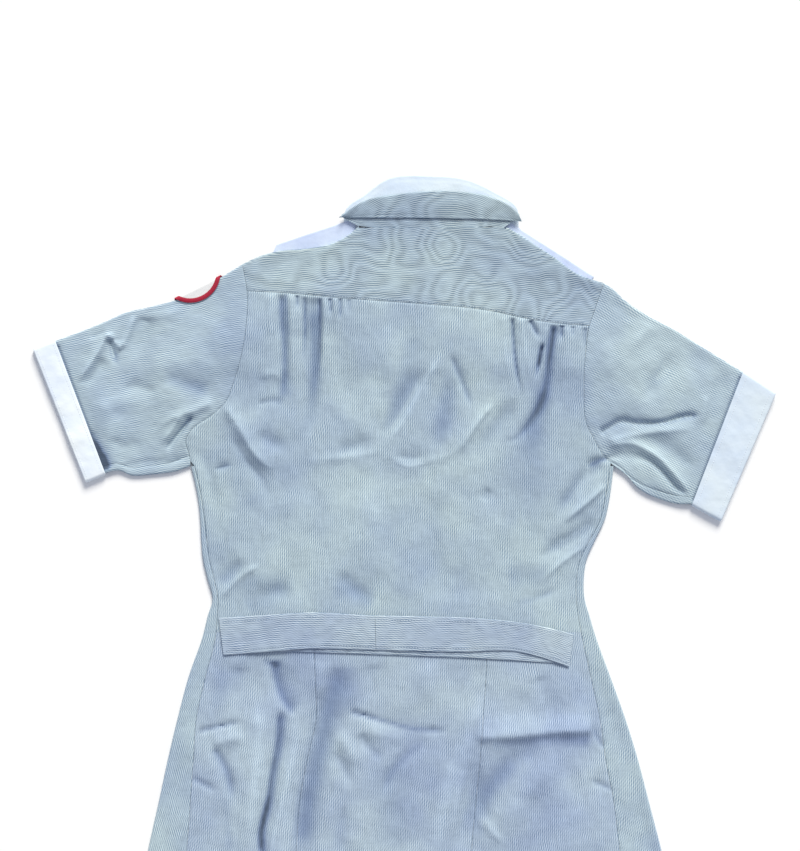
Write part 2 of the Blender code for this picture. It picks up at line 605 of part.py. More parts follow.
def sleeve(name, stations, top, bottom, cuff, shares):
    """Short sleeve from the armhole seam to the cuff, and on inside it nearly to its outer edge."""
    clear = CLOTH + SEAM_GAP + FOLD_RADIUS
    spread = run_length(stations)[:, None]
    spread = spread / spread[-1]

    def across(first, last):
        first, last = np.asarray(first, float), np.asarray(last, float)
        along = unit(last - first)
        return first + along * clear + spread * (last - first - 2 * along * clear)

    at_cuff = across(cuff.inner_top, cuff.inner_bottom)
    at_end = across(cuff.outer_top, cuff.outer_bottom)
    sign = 1 if stations[0, 0] < 0 else -1
    upper = curve([stations[0], *inset_edge(top, sign * FOLD_RADIUS)[1:-1], at_cuff[0]], shares)
    lower = curve([stations[-1], *inset_edge(bottom, -sign * FOLD_RADIUS)[1:-1], at_cuff[-1]], shares)
    inside = [at_cuff + share * (at_end - at_cuff) for share in (0.4, 0.8)]
    plan = np.concatenate([blended(stations, at_cuff, upper, lower), inside])
    flat_tube(name, plan, top_height, base, FOLD_RADIUS, len(stations) - 2)


def cuff(name, corners):
    """White band turned back over the sleeve end."""
    radius = FOLD_RADIUS + CLOTH + SEAM_GAP
    inner = np.array([corners.inner_top, corners.inner_bottom], float)
    outer = np.array([corners.outer_top, corners.outer_bottom], float)
    rows = []
    for share in (0.0, 0.5, 1.0):
        ends = inner + share * (outer - inner)
        along = unit(ends[1] - ends[0])
        rows.append(np.linspace(ends[0] + along * radius, ends[1] - along * radius, 5))

    def above(p):
        return np.full(p.shape[:-1], 2 * radius)

    flat_tube(name, np.array(rows), above, on_table, radius, 3, "white_cotton")


def belt():
    """Half belt across the back waist in two lengths joined at the middle, with its under layer."""
    def over_under(x):
        return smooth((x + 172) / 24) * smooth((188 - x) / 20)
    shares = np.linspace(0, 1, 23)
    split = int(round(BELT_SPLIT * 22))
    upper, lower = curve(BELT_TOP, shares), curve(BELT_BOTTOM, shares)
    plan = np.stack([upper, (upper + lower) / 2, lower])

    def under_lift(p):
        return top_height(p) + BELT_LIFT + CLOTH

    def over_lift(p):
        return under_lift(p) + over_under(p[..., 0]) * (CLOTH + BELT_LIFT)

    points, normals = raised(plan, over_lift)
    for name, columns, side in (("belt_left", slice(None, split + 1), "right"),
                                ("belt_right", slice(split, None), "left")):
        cloth(name, eased(points[:, columns], (side,)), normals[:, columns])
    shares = np.linspace(0, 1, 18)
    upper, lower = curve(UNDER_BELT_TOP, shares), curve(UNDER_BELT_BOTTOM, shares)
    points, normals = raised(np.stack([upper, (upper + lower) / 2, lower]), under_lift)
    cloth("belt_under", points, normals)


def striped_collar():
    """Collar at the back neck: up from the neck seam, over a soft roll, down to its free edge."""
    fold, edge = np.asarray(COLLAR_FOLD, float), np.asarray(COLLAR_EDGE, float)
    neck = np.array([(-64, 432), *BACK_NECK, (126, 429)], float)
    x = np.linspace(-62, 125, 16)
    fold_y, edge_y = np.interp(x, *fold.T), np.interp(x, *edge.T)
    neck_y = np.interp(x, *neck.T) + SEAM_GAP + 0.2
    neck_z = top_height(np.stack([x, neck_y - 2], axis=1)) - CLOTH / 2
    neck_z = np.maximum(neck_z, neck_z.max() - 1.2)
    roll = COLLAR_ROLL
    outer = roll + CLOTH / 2
    middle_y = fold_y - outer
    rows = [(neck_y, neck_z - CLOTH / 2, 0, -1), ((neck_y + middle_y) / 2, neck_z - CLOTH / 2, 0, -1)]
    for angle in np.linspace(-pi / 2, pi / 2, 6):
        rows.append((middle_y + outer * np.cos(angle), neck_z + roll + outer * np.sin(angle),
                     np.cos(angle), np.sin(angle)))
    for share in (0.5, 1.0):
        level = neck_z + roll + outer - 0.9 * share ** 2
        rows.append((middle_y + share * (edge_y - middle_y), level, 0, 1))
    points = np.array([np.stack([x, y, z], axis=1) for y, z, _, _ in rows])
    normals = np.array([np.stack([0 * x, ny + 0 * x, nz + 0 * x], axis=1) for _, _, ny, nz in rows])
    cloth("collar_striped", points, normals)


def white_collar():
    """White collar: points on the front, round the neck sides, standing beyond the back neck."""
    table = np.array(WHITE_COLLAR, float)
    shares = np.linspace(0, 1, 37)
    inner = curve(table[:, [0, 1, 4]], shares)
    outer = curve(table[:, [2, 3, 5]], shares)
    rows = [inner + share * (outer - inner) for share in (0.0, 0.34, 0.67, 1.0)]
    points = np.array(rows)
    points[..., 2] = np.maximum(points[..., 2], 0.0)
    normals = np.broadcast_to([0.0, 0.0, -1.0], points.shape)
    cloth("collar_white", points, normals, finish="white_cotton")


def strap(name, corners):
    """Shoulder strap lying under the shoulder, its outer edge showing beyond it."""
    a, b, c, d = np.asarray(corners, float)
    shares = np.linspace(0, 1, 6)[:, None]
    outer, inner = a + shares * (b - a), d + shares * (c - d)
    plan = np.stack([outer, (outer + inner) / 2, inner])
    points, normals = raised(plan, on_table, upwards=-1.0)
    cloth(name, points, normals, finish="white_cotton")


def sleeve_badge():
    """Round badge blank folded over the top edge of the left sleeve, most of it on the front side."""
    first, last = np.asarray(PATCH_ENDS, float)
    along = unit(last - first)
    inward = np.array([along[1], -along[0]])
    inward = inward if inward[1] < 0 else -inward
    middle = (first + last) / 2 - inward * 2 * SEAM_GAP
    radius = FOLD_RADIUS + SEAM_GAP + PATCH_THICKNESS
    half_turn = pi * radius / 2
    hidden = PATCH_SHOWS - PATCH_RADIUS
    ways = np.concatenate([[0.97 * PATCH_RADIUS + hidden, 9.5],
                           half_turn * np.cos(np.linspace(0, pi, 7)),
                           [-12, -20, -28, -36, hidden - 0.97 * PATCH_RADIUS]])
    rows, row_normals = [], []
    for way in ways:
        half = np.sqrt(max(PATCH_RADIUS ** 2 - (way - hidden) ** 2, 1.0))
        line = middle + along * np.linspace(-half, half, 9)[:, None]
        if abs(way) <= half_turn + 1e-6:
            angle = pi / 2 - way / radius
            plan = line + inward * (FOLD_RADIUS - radius * np.sin(angle))
            level = np.full(9, SHOULDER_RISE + FOLD_RADIUS + radius * np.cos(angle))
            normal = np.array([*(-inward * np.sin(angle)), np.cos(angle)])
        else:
            depth = FOLD_RADIUS + abs(way) - half_turn
            plan = line + inward * depth
            if way > 0:
                level = top_height(plan) + SEAM_GAP + PATCH_THICKNESS
            else:
                level = np.full(9, SHOULDER_RISE + FOLD_RADIUS - radius)
            normal = np.array([0.0, 0.0, np.sign(way)])
        rows.append(np.concatenate([plan, level[:, None]], axis=1))
        row_normals.append(np.broadcast_to(normal, (9, 3)))
    cloth("badge_blank", np.array(rows), np.array(row_normals),
          thickness=PATCH_THICKNESS, finish="badge_twill")


def buttons():
    """Round buttons down the front overlap, between it and the table."""
    for k in range(BUTTON_COUNT):
        y = FIRST_BUTTON_Y - k * BUTTON_PITCH
        bpy.ops.mesh.primitive_cylinder_add(
            vertices=16, radius=BUTTON_RADIUS, depth=BUTTON_THICKNESS,
            location=(centre_front(y), y, BUTTON_THICKNESS / 2))
        made = bpy.context.object
        made.name = f"button_{k + 1:02d}"
        made.data.materials.append(material("button_white"))


def to_metres():
    """Moves the dress so that its box stands on the origin, in metres."""
    for made in bpy.data.objects:
        shape = made.data
        shape.transform(made.matrix_basis)
        made.matrix_basis.identity()
        moved = np.array([v.co for v in shape.vertices], float) - [*BOX_MIDDLE, 0]
        shape.vertices.foreach_set("co", (moved / 1000).ravel())
        shape.update()


def build():
    for old in list(bpy.data.objects):
        bpy.data.objects.remove(old)
    forward = yoke()
    back_bodice()
    back_skirt()
    lift_over = CLOTH + 2 * SEAM_GAP
    front_bodice("left", STATIONS_LEFT, FRONT_NECK_LEFT, forward[:8], lift_over)
    front_bodice("right", STATIONS_RIGHT, FRONT_NECK_RIGHT, forward[:-9:-1], 0.0)
    front_skirt("left", lift_over)
    front_skirt("right", 0.0)
    shares = np.array([0, 0.1, 0.24, 0.4, 0.56, 0.72, 0.87, 1.0])
    sleeve("sleeve_left", STATIONS_LEFT, SLEEVE_TOP_LEFT, SLEEVE_BOTTOM_LEFT, CUFF_LEFT, shares)
    sleeve("sleeve_right", STATIONS_RIGHT, SLEEVE_TOP_RIGHT, SLEEVE_BOTTOM_RIGHT, CUFF_RIGHT, shares)
    cuff("cuff_left", CUFF_LEFT)
    cuff("cuff_right", CUFF_RIGHT)
    belt()
    striped_collar()
    white_collar()
    strap("strap_left", STRAP_LEFT)
    strap("strap_right", STRAP_RIGHT)
    sleeve_badge()
    buttons()
    to_metres()


build()
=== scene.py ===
"""Nurse uniform dress laid on its front: cloth, folds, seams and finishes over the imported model.

Plan lengths are millimetres with the middle of the back waist at (0, 0), +X to the right, +Y towards
the neck and heights above the table. Left and right are the wearer's, so left lies at -X.
"""

from collections import namedtuple
from math import cos, pi, radians, sin

import bpy
import numpy as np
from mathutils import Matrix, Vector


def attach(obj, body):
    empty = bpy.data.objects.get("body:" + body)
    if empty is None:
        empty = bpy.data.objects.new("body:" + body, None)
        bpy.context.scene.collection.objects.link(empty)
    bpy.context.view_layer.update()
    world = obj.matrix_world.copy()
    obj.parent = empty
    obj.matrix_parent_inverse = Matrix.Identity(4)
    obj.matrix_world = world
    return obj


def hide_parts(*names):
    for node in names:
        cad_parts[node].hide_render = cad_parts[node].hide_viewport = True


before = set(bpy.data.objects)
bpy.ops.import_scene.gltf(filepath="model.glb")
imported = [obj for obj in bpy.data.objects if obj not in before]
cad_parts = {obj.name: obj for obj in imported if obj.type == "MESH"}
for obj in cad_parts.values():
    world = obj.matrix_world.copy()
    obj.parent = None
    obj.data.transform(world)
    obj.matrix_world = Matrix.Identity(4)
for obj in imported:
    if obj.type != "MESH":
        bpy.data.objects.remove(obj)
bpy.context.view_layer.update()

# Sizes of the frame's solids, and the thinner cloth that is drawn over them. The seam gap is the room
# left between two panels. The waist seam is almost shut, so that no line of shadow shows there.
SOLID_WALL = 1.2
CLOTH = 0.5
SEAM_GAP = 0.3
WAIST_GAP = 0.03
FOLD_HEIGHT = 4.2
FOLD_RADIUS = FOLD_HEIGHT / 2
LOFT = 3.6
LOFT_REACH = 70.0
SHOULDER_RISE = 1.5
BUTTON_RADIUS = 5.7
BUTTON_THICKNESS = 1.8
BUTTON_PITCH = 96.0
BUTTON_COUNT = 10
FIRST_BUTTON_Y = 338.0
PLACKET_RISE = BUTTON_THICKNESS + SEAM_GAP
OVERLAP = 15.0
PATCH_RADIUS = 32.0
PATCH_SHOWS = 15.0
PATCH_THICKNESS = 0.9
PATCH_ENDS = ((-187.0, 378.0), (-241.0, 351.0))
FORWARD_SEAM = 13.0
BELT_DEPTH = 38
UNDER_BELT_LENGTH = 303
STRAP_DEPTH = 26
WHITE_COLLAR_DEPTH = 46
HEM_DEPTH = 24.0
RIM_WIDTH = 4.4
BOX_MIDDLE = (5.0, -89.9)

# The body in level sections from underarm to hem: outline, side seams, and the dart or gore lines
Section = namedtuple("Section", "y left left_seam left_gore right_gore right_seam right")
SECTIONS = [
    Section(176, -222, -218, -91, 102, 223, 227),
    Section(160, -218, -214, -91, 102, 221, 225),
    Section(139, -214, -210, -91, 101, 217, 222),
    Section(118, -212, -207, -91, 100, 212, 217),
    Section(97, -211, -205, -91, 99, 201, 207),
    Section(76, -209, -202, -91, 98, 191, 198),
    Section(55, -204, -197, -91, 96, 187, 195),
    Section(34, -199, -193, -91, 94, 187, 196),
    Section(17, -204, -194, -91, 92, 189, 201),
    Section(0, -208, -195, -91, 92, 192, 206),
    Section(-50, -225, -207, -90, 91, 203, 224),
    Section(-92, -236, -216, -89, 88, 212, 239),
    Section(-134, -246, -219, -98, 85, 218, 252),
    Section(-176, -255, -222, -106, 81, 226, 263),
    Section(-230, -267, -226, -110, 76, 233, 277),
    Section(-330, -285, -236, -116, 79, 243, 300),
    Section(-440, -303, -249, -122, 84, 255, 320),
    Section(-550, -321, -261, -130, 90, 266, 340),
    Section(-660, -338, -273, -139, 97, 278, 359),
]
UNDERARM_Y = SECTIONS[0].y
HEM_Y = SECTIONS[-1].y

ARMHOLE_LEFT = [(-167, 390), (-162, 359), (-163, 325), (-169, 289), (-176, 266), (-185, 244),
                (-198, 231), (-222, 213), (-227, 204), (-223, 186), (-222, 176)]
ARMHOLE_RIGHT = [(216, 370), (207, 343), (200, 322), (197, 300), (195, 275), (195, 255),
                 (198, 220), (206, 204), (216, 187), (227, 176)]
YOKE_DROP_LEFT = 28.9
YOKE_DROP_RIGHT = 47.5

SLEEVE_TOP_LEFT = [(-167, 390), (-187, 378), (-241, 351), (-268, 344), (-290, 339), (-313, 329),
                   (-335, 320), (-362, 307)]
SLEEVE_BOTTOM_LEFT = [(-222, 176), (-239, 170), (-262, 167), (-286, 166), (-300, 171), (-310, 170)]
SLEEVE_TOP_RIGHT = [(216, 370), (228, 362), (236, 354), (263, 335), (290, 321), (316, 305), (360, 274)]
SLEEVE_BOTTOM_RIGHT = [(227, 176), (238, 166), (250, 153), (277, 140), (292, 136), (307, 135)]

Cuff = namedtuple("Cuff", "inner_top inner_bottom outer_top outer_bottom")
CUFF_LEFT = Cuff((-366, 310), (-312, 167), (-389.5, 301), (-333, 158))
CUFF_RIGHT = Cuff((364, 277), (309, 134), (399, 254), (340, 117))

SHOULDER_LEFT = [(-167, 390), (-150, 398), (-128, 404), (-104, 406), (-75, 411), (-58, 419), (-45, 430)]
SHOULDER_RIGHT = [(110, 431), (128, 421), (146, 409), (166, 396), (186, 381), (203, 374), (216, 370)]
BACK_NECK = [(-45, 430), (-14, 429), (32, 428), (78, 429), (110, 431)]
FRONT_NECK_LEFT = [(-40, 419), (-34, 395), (-16, 373), (9, 361), (39, 357)]
FRONT_NECK_RIGHT = [(105, 420), (97, 395), (79, 374), (54, 362), (9, 357)]
YOKE_SEAM = [(-162, 361.5), (-129, 360), (-63, 354), (21, 348), (89, 341.5), (144, 330.5), (174, 326.5),
             (200, 324.5)]
CENTRE_FRONT_Y = (-660, -230, 0, 176, 357)
CENTRE_FRONT_X = (10, 5, -2, 6, 24)

BELT_TOP = [(-192, 15), (-145, 18), (-99, 21), (-28, 18), (19, 17), (105, 13), (147, 7), (184, -2)]
BELT_BOTTOM = [(-187, -25), (-142, -21), (-105, -18), (-28, -19), (63, -21), (126, -21), (147, -26),
               (179, -37)]
BELT_SPLIT = 0.44
BELT_LIFT = 0.6
UNDER_BELT_TOP = [(-140, 14), (-28, 14), (63, 11), (163, 0)]
UNDER_BELT_BOTTOM = [(-140, -20), (-28, -23.5), (63, -27), (163, -32.5)]

COLLAR_FOLD = [(-64, 441), (-38, 457), (0, 464.5), (22, 467), (61, 467), (97, 461), (119, 450),
               (129, 440)]
COLLAR_EDGE = [(-66, 439.5), (-38, 439), (25, 438.5), (81, 437.5), (129, 435)]
COLLAR_ROLL = 1.5

# Pairs of points on the white collar's inner and outer edges, and their heights over the lowest one
White = namedtuple("White", "inner_x inner_y outer_x outer_y inner_z outer_z")
WHITE_COLLAR = [
    White(20, 359, -6, 309, 0.0, 0.0),
    White(-4, 366, -40, 326, 0.0, 0.0),
    White(-26, 384, -66, 356, 0.0, 0.0),
    White(-37, 406, -62, 398, 0.0, 0.0),
    White(-42, 422, -60, 418, 0.0, 0.0),
    White(-43, 431, -60, 432, 0.0, 0.0),
    White(-40, 436, -58, 447, 1.0, 0.0),
    White(-30, 434, -36, 465, 2.6, 0.1),
    White(-6, 432, -14, 480.5, 2.9, 0.2),
    White(32, 431, 34, 484, 2.9, 0.2),
    White(70, 432, 68, 481, 2.9, 0.2),
    White(98, 434, 100, 467, 2.6, 0.1),
    White(106, 436, 124.5, 449, 1.0, 0.0),
    White(108, 431, 126, 431, 0.0, 0.0),
    White(107, 421, 126, 417, 0.0, 0.0),
    White(101, 405, 126, 398, 0.0, 0.0),
    White(88, 385, 128, 358, 0.0, 0.0),
    White(66, 368, 102, 328, 0.0, 0.0),
    White(28, 359, 64, 310, 0.0, 0.0),
]

# Corners of each strap: its outer edge from the collar to the shoulder, then back along its inner one
STRAP_LEFT = ((-47, 439), (-131, 411), (-147, 376), (-47, 408))
STRAP_RIGHT = ((110, 439), (206, 377), (186, 350), (110, 408))

# Creases, listed one by one: the line each follows, its half width, its height (troughs under 0), how
# much wider the side to the left of the line is than the side to the right, and the shares of its
# length over which it fades in and out
Crease = namedtuple("Crease", "line width height lean fade_in fade_out")
# The troughs of these creases are also painted in shade and their ridges painted lighter, through the
# painted fold shading
GATHERS = [
    Crease([(-126.1, 359.3), (-125.1, 330.7), (-122.4, 298.9), (-123, 269.2), (-128.3, 237.4),
            (-135.7, 212)], 4, -4.6, 1.4, 0.05, 0.65),
    Crease([(-136, 359), (-137, 320), (-138, 283)], 5.5, 1.8, 1, 0.05, 0.6),
    Crease([(-115, 358.3), (-114.5, 320.1), (-114.5, 288.3), (-118.7, 251.2)], 4, 2, 1, 0.04, 0.6),
    Crease([(-109.2, 357.2), (-108.7, 340.3)], 2.2, -2.6, 1, 0.08, 0.5),
    Crease([(-101.2, 356.2), (-100.7, 320.1), (-102.8, 277.7)], 2.4, -3.2, 1, 0.06, 0.5),
    Crease([(-92, 356), (-91, 304), (-92, 251), (-102, 209), (-123, 187)], 8, -3.4, 1, 0.05, 0.35),
    Crease([(-84.8, 355.1), (-85.9, 304.2), (-88, 254.4)], 2.6, -4.1, 1, 0.05, 0.5),
    Crease([(-79.5, 354), (-81.6, 298.9), (-86.9, 251.2)], 3.6, 2.2, 1, 0.05, 0.6),
    Crease([(-74.2, 354), (-73.1, 332.8)], 2.2, -3.5, 1, 0.08, 0.5),
    Crease([(-68.9, 354), (-67.8, 324.4)], 2.8, 1.4, 1, 0.08, 0.7),
    Crease([(-63.6, 354), (-63.6, 327.5)], 2.2, -3.2, 1, 0.08, 0.5),
    Crease([(-54.1, 353), (-53, 335)], 2.4, -1.7, 1, 0.08, 0.5),
    Crease([(-147.3, 270.3), (-134.6, 273.5), (-121.9, 267.1)], 4.2, 1.7, 1, 0.2, 0.3),
    Crease([(-151.6, 241.7), (-137.8, 244.9), (-121.9, 242.7)], 3, -1.9, 1, 0.2, 0.3),
    Crease([(119.2, 333.9), (120.8, 304.2), (126.1, 263.9), (131.4, 242.7)], 2.8, -4.4, 0.6, 0.05, 0.45),
    Crease([(110, 335), (111, 299), (117, 262)], 5, 1.5, 1, 0.05, 0.6),
    Crease([(128.3, 332.8), (130.4, 304.2), (136.7, 267.1)], 4.5, 1.9, 1, 0.05, 0.6),
    Crease([(137.8, 330.7), (143.1, 320.1), (149.5, 309.5)], 2.2, -4.1, 1, 0.06, 0.5),
    Crease([(151.6, 307.4), (148.4, 290.4), (143.1, 265)], 2.4, -6.1, 1, 0.15, 0.5),
    Crease([(155.8, 324.4), (152.6, 304.2), (149.5, 283), (142, 254.4)], 3, 2.3, 1, 0.05, 0.6),
    Crease([(163.2, 326.5), (158.5, 298.9), (156.3, 270.3), (149.5, 242.7), (141, 226.8), (127.2, 208.8),
            (102.8, 196.1)], 4.6, -5.6, 1.2, 0.05, 0.4),
    Crease([(171.7, 325.4), (170.7, 307.4)], 2.2, -3.5, 1, 0.08, 0.5),
    Crease([(177, 324), (173, 283), (165, 246)], 6, 1.9, 1, 0.05, 0.6),
    Crease([(183.4, 324.4), (182.3, 310.6)], 2, -2.3, 1, 0.08, 0.5),
    Crease([(196.1, 323.3), (196.1, 292.6)], 3.2, -2.2, 1, 0.1, 0.6),
]
CREASES = [
    # bodice
    Crease([(32, 284), (4, 242), (-25, 191)], 11, -3.6, 0.7, 0.25, 0.4),
    Crease([(46.6, 296.8), (23.3, 260.8), (-2.1, 216.2), (-18, 192.9)], 4.8, 3, 1.4, 0.2, 0.25),
    Crease([(51.9, 296.8), (66.8, 261.8), (77.4, 233.2)], 3, -3, 1.6, 0.2, 0.3),
    Crease([(50, 269), (49, 225), (32, 191)], 11, -2.4, 1, 0.3, 0.4),
    Crease([(102, 245), (83, 223), (57, 181)], 5.5, 3, 0.6, 0.2, 0.4),
    Crease([(127, 248), (104, 220), (74, 180)], 10, -3, 1, 0.25, 0.4),
    Crease([(-18, 194), (-5.3, 182.3), (5.3, 176), (31.8, 181.3), (55.1, 189.7),
            (76.3, 214.1)], 5, 1.3, 1, 0.2, 0.3),
    Crease([(-106, 182.3), (-74.2, 183.4), (-42.4, 187.6), (-15.9, 192.9)], 4.6, 1.4, 1, 0.2, 0.2),
    Crease([(-153, 214), (-136, 201), (-114, 195)], 9, -3.2, 1, 0.3, 0.4),
    Crease([(-72, 191), (-53, 195), (-28, 208)], 9, -3.2, 1, 0.3, 0.4),
    Crease([(-8, 189), (8, 184), (30, 188)], 6, -2, 1, 0.3, 0.4),
    Crease([(95, 153), (87, 137)], 7, -2, 1, 0.3, 0.4),
    Crease([(-188.7, 243.8), (-169.6, 214.1), (-150.5, 184.4),
            (-128.3, 167.5)], 4.6, 3.4, 1.6, 0.15, 0.3),
    Crease([(-182, 214), (-163, 182), (-144, 157), (-138, 131)], 7, -3, 1, 0.25, 0.4),
    Crease([(-199.3, 171.7), (-174.9, 178.1)], 3, -2, 1, 0.3, 0.4),
    Crease([(-214, 204), (-199, 155), (-192, 108)], 8, -2, 1, 0.25, 0.45),
    Crease([(214, 182), (187, 154), (162, 114)], 8, -4.2, 1, 0.1, 0.4),
    Crease([(220.5, 156.9), (195, 134.6), (169.6, 113.4)], 4.6, 3.6, 0.7, 0.1, 0.35),
    Crease([(210, 116), (178, 98), (140, 74)], 7.5, -3.6, 1, 0.1, 0.4),
    Crease([(199, 93), (173, 75), (147, 52)], 5, 2.8, 0.8, 0.1, 0.4),
    Crease([(204, 75), (188, 65)], 5, -2.2, 1, 0.2, 0.4),
    Crease([(-146.3, 73.1), (-169.6, 58.3), (-198.2, 27.6)], 4, 2.8, 1, 0.2, 0.1),
    Crease([(-114, 49), (-140, 36), (-163, 22)], 12, -3.4, 1, 0.3, 0.1),
    Crease([(-163, 76), (-182, 61), (-197, 47)], 8, -2.4, 1, 0.3, 0.3),
    Crease([(-68, 68), (-49, 45), (-28, 23)], 9, -3, 1, 0.3, 0.2),
    Crease([(-106, 163), (-109, 108), (-119, 57)], 12, 1.9, 1, 0.3, 0.4),
    Crease([(-31, 165), (-28, 98), (-36, 32)], 13, 1.7, 1, 0.3, 0.4),
    Crease([(30, 163), (39, 98), (32, 30)], 13, -1.8, 1, 0.3, 0.4),
    Crease([(127, 174), (113, 108), (106, 38)], 11, -1.9, 1, 0.3, 0.4),
    Crease([(172, 47), (140, 34), (110, 28)], 5, -2, 1, 0.3, 0.4),
    Crease([(-74, 320), (-59, 278), (-51, 225)], 12, -1.7, 1, 0.3, 0.4),
    Crease([(-19, 333), (-13, 299), (-15, 257)], 12, 1.7, 1, 0.3, 0.4),
    # skirt
    Crease([(-145.2, -28.6), (-134.6, -33.9), (-124, -38.2)], 4, -2.6, 1, 0.1, 0.3),
    Crease([(-135.7, -28.6), (-126.1, -66.8), (-110.2, -91.2)], 4, -4.2, 3, 0.06, 0.2),
    Crease([(-127, -81), (-130, -123), (-135, -147), (-140, -181), (-148, -213), (-146, -242),
            (-147, -321)], 3.6, -5.6, 2.2, 0.06, 0.4),
    Crease([(-147, -66), (-154, -147), (-160, -205), (-163, -268)], 9, 3.6, 1, 0.2, 0.4),
    Crease([(-109, -112), (-118, -152), (-126, -184), (-136, -227),
            (-136, -289)], 5.5, 3.6, 1, 0.2, 0.4),
    Crease([(-64, -28), (-77, -72), (-86, -114), (-98, -167), (-105, -230),
            (-109, -353)], 13, -4, 1, 0.08, 0.5),
    Crease([(-82, -30), (-83, -78)], 9, 2.6, 1, 0.1, 0.5),
    Crease([(-55.1, -83.7), (-15.9, -94.3), (11.7, -101.8), (55.1, -104.9)], 3.4, -3.4, 0.8, 0.08, 0.2),
    Crease([(-45, -104), (-13, -110), (8, -117)], 8, 1.8, 1, 0.2, 0.3),
    Crease([(-66, -104), (-55, -123), (-47, -146)], 8, 3, 1, 0.3, 0.4),
    Crease([(-45, -107), (-34, -121), (-17, -138)], 7, -2.6, 1, 0.2, 0.3),
    Crease([(31, -111), (-2, -140), (-23, -179)], 6, -3.2, 1, 0.2, 0.35),
    Crease([(-71, -124), (-60, -144), (-50, -165)], 6, -2.4, 1, 0.3, 0.4),
    Crease([(-57, -180), (-63, -210), (-67, -246)], 8, -2.6, 1, 0.3, 0.4),
    Crease([(84, -66), (69, -129), (58, -191), (52, -248)], 8, 4.2, 1, 0.15, 0.4),
    Crease([(84, -139), (76, -178), (68, -206), (54, -241)], 9, -2.8, 1, 0.2, 0.4),
    Crease([(78, -112), (126, -110), (164, -106), (209, -104)], 5.2, 4.8, 4.2, 0.08, 0.08),
    Crease([(152, -120), (119, -137), (100, -157), (86, -180), (80, -223)], 11, -2.8, 1, 0.15, 0.4),
    Crease([(172, -132), (138, -162), (119, -194), (111, -237)], 12, 3, 1, 0.2, 0.4),
    Crease([(201.4, -97.5), (217.3, -127.2)], 3, -2.2, 1, 0.2, 0.3),
    Crease([(201.4, -156.9), (227.9, -168.5)], 3, -2.2, 1, 0.2, 0.3),
    Crease([(215.2, -91.2), (231.1, -84.8)], 2.6, -1.6, 1, 0.3, 0.3),
    Crease([(-244.9, -110.2), (-224.7, -95.4)], 3, -2.2, 1, 0.2, 0.3),
    Crease([(-216.2, -106), (-191.9, -100.3), (-165.4, -94.9)], 2.8, -2.9, 1, 0.12, 0.3),
    Crease([(-200, -118), (-182, -114), (-163, -111)], 8, 2.7, 1, 0.2, 0.3),
    Crease([(-199, -121), (-184, -147), (-176, -187)], 5.5, -3.6, 1, 0.12, 0.4),
    Crease([(-221.5, -153.7), (-191.9, -169.6)], 3.4, -2.4, 1, 0.2, 0.4),
    Crease([(81, -193), (110, -226)], 5, 2.4, 1, 0.3, 0.3),
    Crease([(-30, -34), (-25, -76)], 9, -1.6, 1, 0.1, 0.6),
    Crease([(28, -32), (32, -85)], 10, 1.6, 1, 0.1, 0.6),
    Crease([(148, -47), (158, -85)], 8, -1.8, 1, 0.1, 0.6),
    Crease([(-170, -36), (-176, -81)], 8, -1.8, 1, 0.1, 0.6),
    Crease([(-58, -240), (-70, -401), (-85, -660)], 15, 3.4, 1, 0.35, 0.05),
    Crease([(-13, -284), (-23, -485), (-29, -660)], 12, -3.2, 1.4, 0.35, 0.05),
    Crease([(25, -244), (35, -432), (43, -660)], 16, 3.3, 0.8, 0.35, 0.05),
    Crease([(91, -337), (98, -507), (106, -660)], 10, -2.6, 1, 0.4, 0.05),
    Crease([(138, -244), (158, -443), (178, -660)], 14, -3.6, 0.8, 0.35, 0.05),
    Crease([(186, -284), (210, -485), (240, -660)], 14, 3.1, 1.2, 0.35, 0.05),
    Crease([(-127, -369), (-136, -517), (-146, -660)], 11, 2.6, 1, 0.4, 0.05),
    Crease([(-189, -284), (-199, -475), (-215, -660)], 13, -3, 1, 0.35, 0.05),
    # left sleeve
    Crease([(-279.8, 345.6), (-286.2, 322.2), (-295.2, 300)], 3, 3.8, 1, 0.05, 0.1),
    Crease([(-272, 337), (-277, 310), (-286, 284)], 9, -3.4, 1, 0.15, 0.5),
    Crease([(-295.2, 300), (-303.2, 308.5), (-309.5, 316.9)], 3, 3, 1, 0.1, 0.1),
    Crease([(-308.5, 311.6), (-305.3, 298.9), (-300, 279.8)], 3.6, -4, 1.6, 0.1, 0.5),
    Crease([(-308, 318), (-320, 295), (-342, 263)], 5, 4.8, 0.6, 0.06, 0.15),
    Crease([(-313, 292), (-325, 271), (-339, 258)], 6, -2.8, 1, 0.2, 0.3),
    Crease([(-329.7, 311.6), (-319.1, 316.4), (-310.6, 318)], 4, -2.4, 1, 0.3, 0.2),
    Crease([(-257, 277), (-228, 263), (-210, 257), (-191, 252)], 8.5, -2.6, 1.2, 0.3, 0.25),
    Crease([(-197, 244), (-220, 234), (-244, 225), (-259, 214)], 6, 3.2, 1, 0.12, 0.4),
    Crease([(-219.4, 230), (-233.2, 212), (-249.1, 191.9)], 3, -4.6, 1, 0.12, 0.2),
    Crease([(-230, 232), (-242, 214), (-255, 197)], 5, 2.2, 1, 0.2, 0.4),
    Crease([(-296.8, 174.9), (-265, 180.2), (-235.3, 182.9), (-224.7, 189.2)], 2.2, -2.6, 1, 0.1, 0.1),
    Crease([(-272, 342), (-249, 339), (-229, 347)], 8, 2.2, 1, 0.2, 0.3),
    Crease([(-329, 235), (-299, 242), (-269, 247)], 9, 1.9, 1, 0.3, 0.4),
    Crease([(-314, 204), (-288, 197), (-265, 204)], 8, -2, 1, 0.3, 0.4),
    Crease([(-297, 261), (-273, 259), (-254, 250)], 7, -1.8, 1, 0.3, 0.4),
    # right sleeve
    Crease([(210.9, 209.9), (224.7, 218.4), (232.1, 222.6), (254.4, 221), (279.8, 222.6), (301, 228.4),
            (320.1, 230)], 3.6, -5.2, 1, 0.05, 0.12),
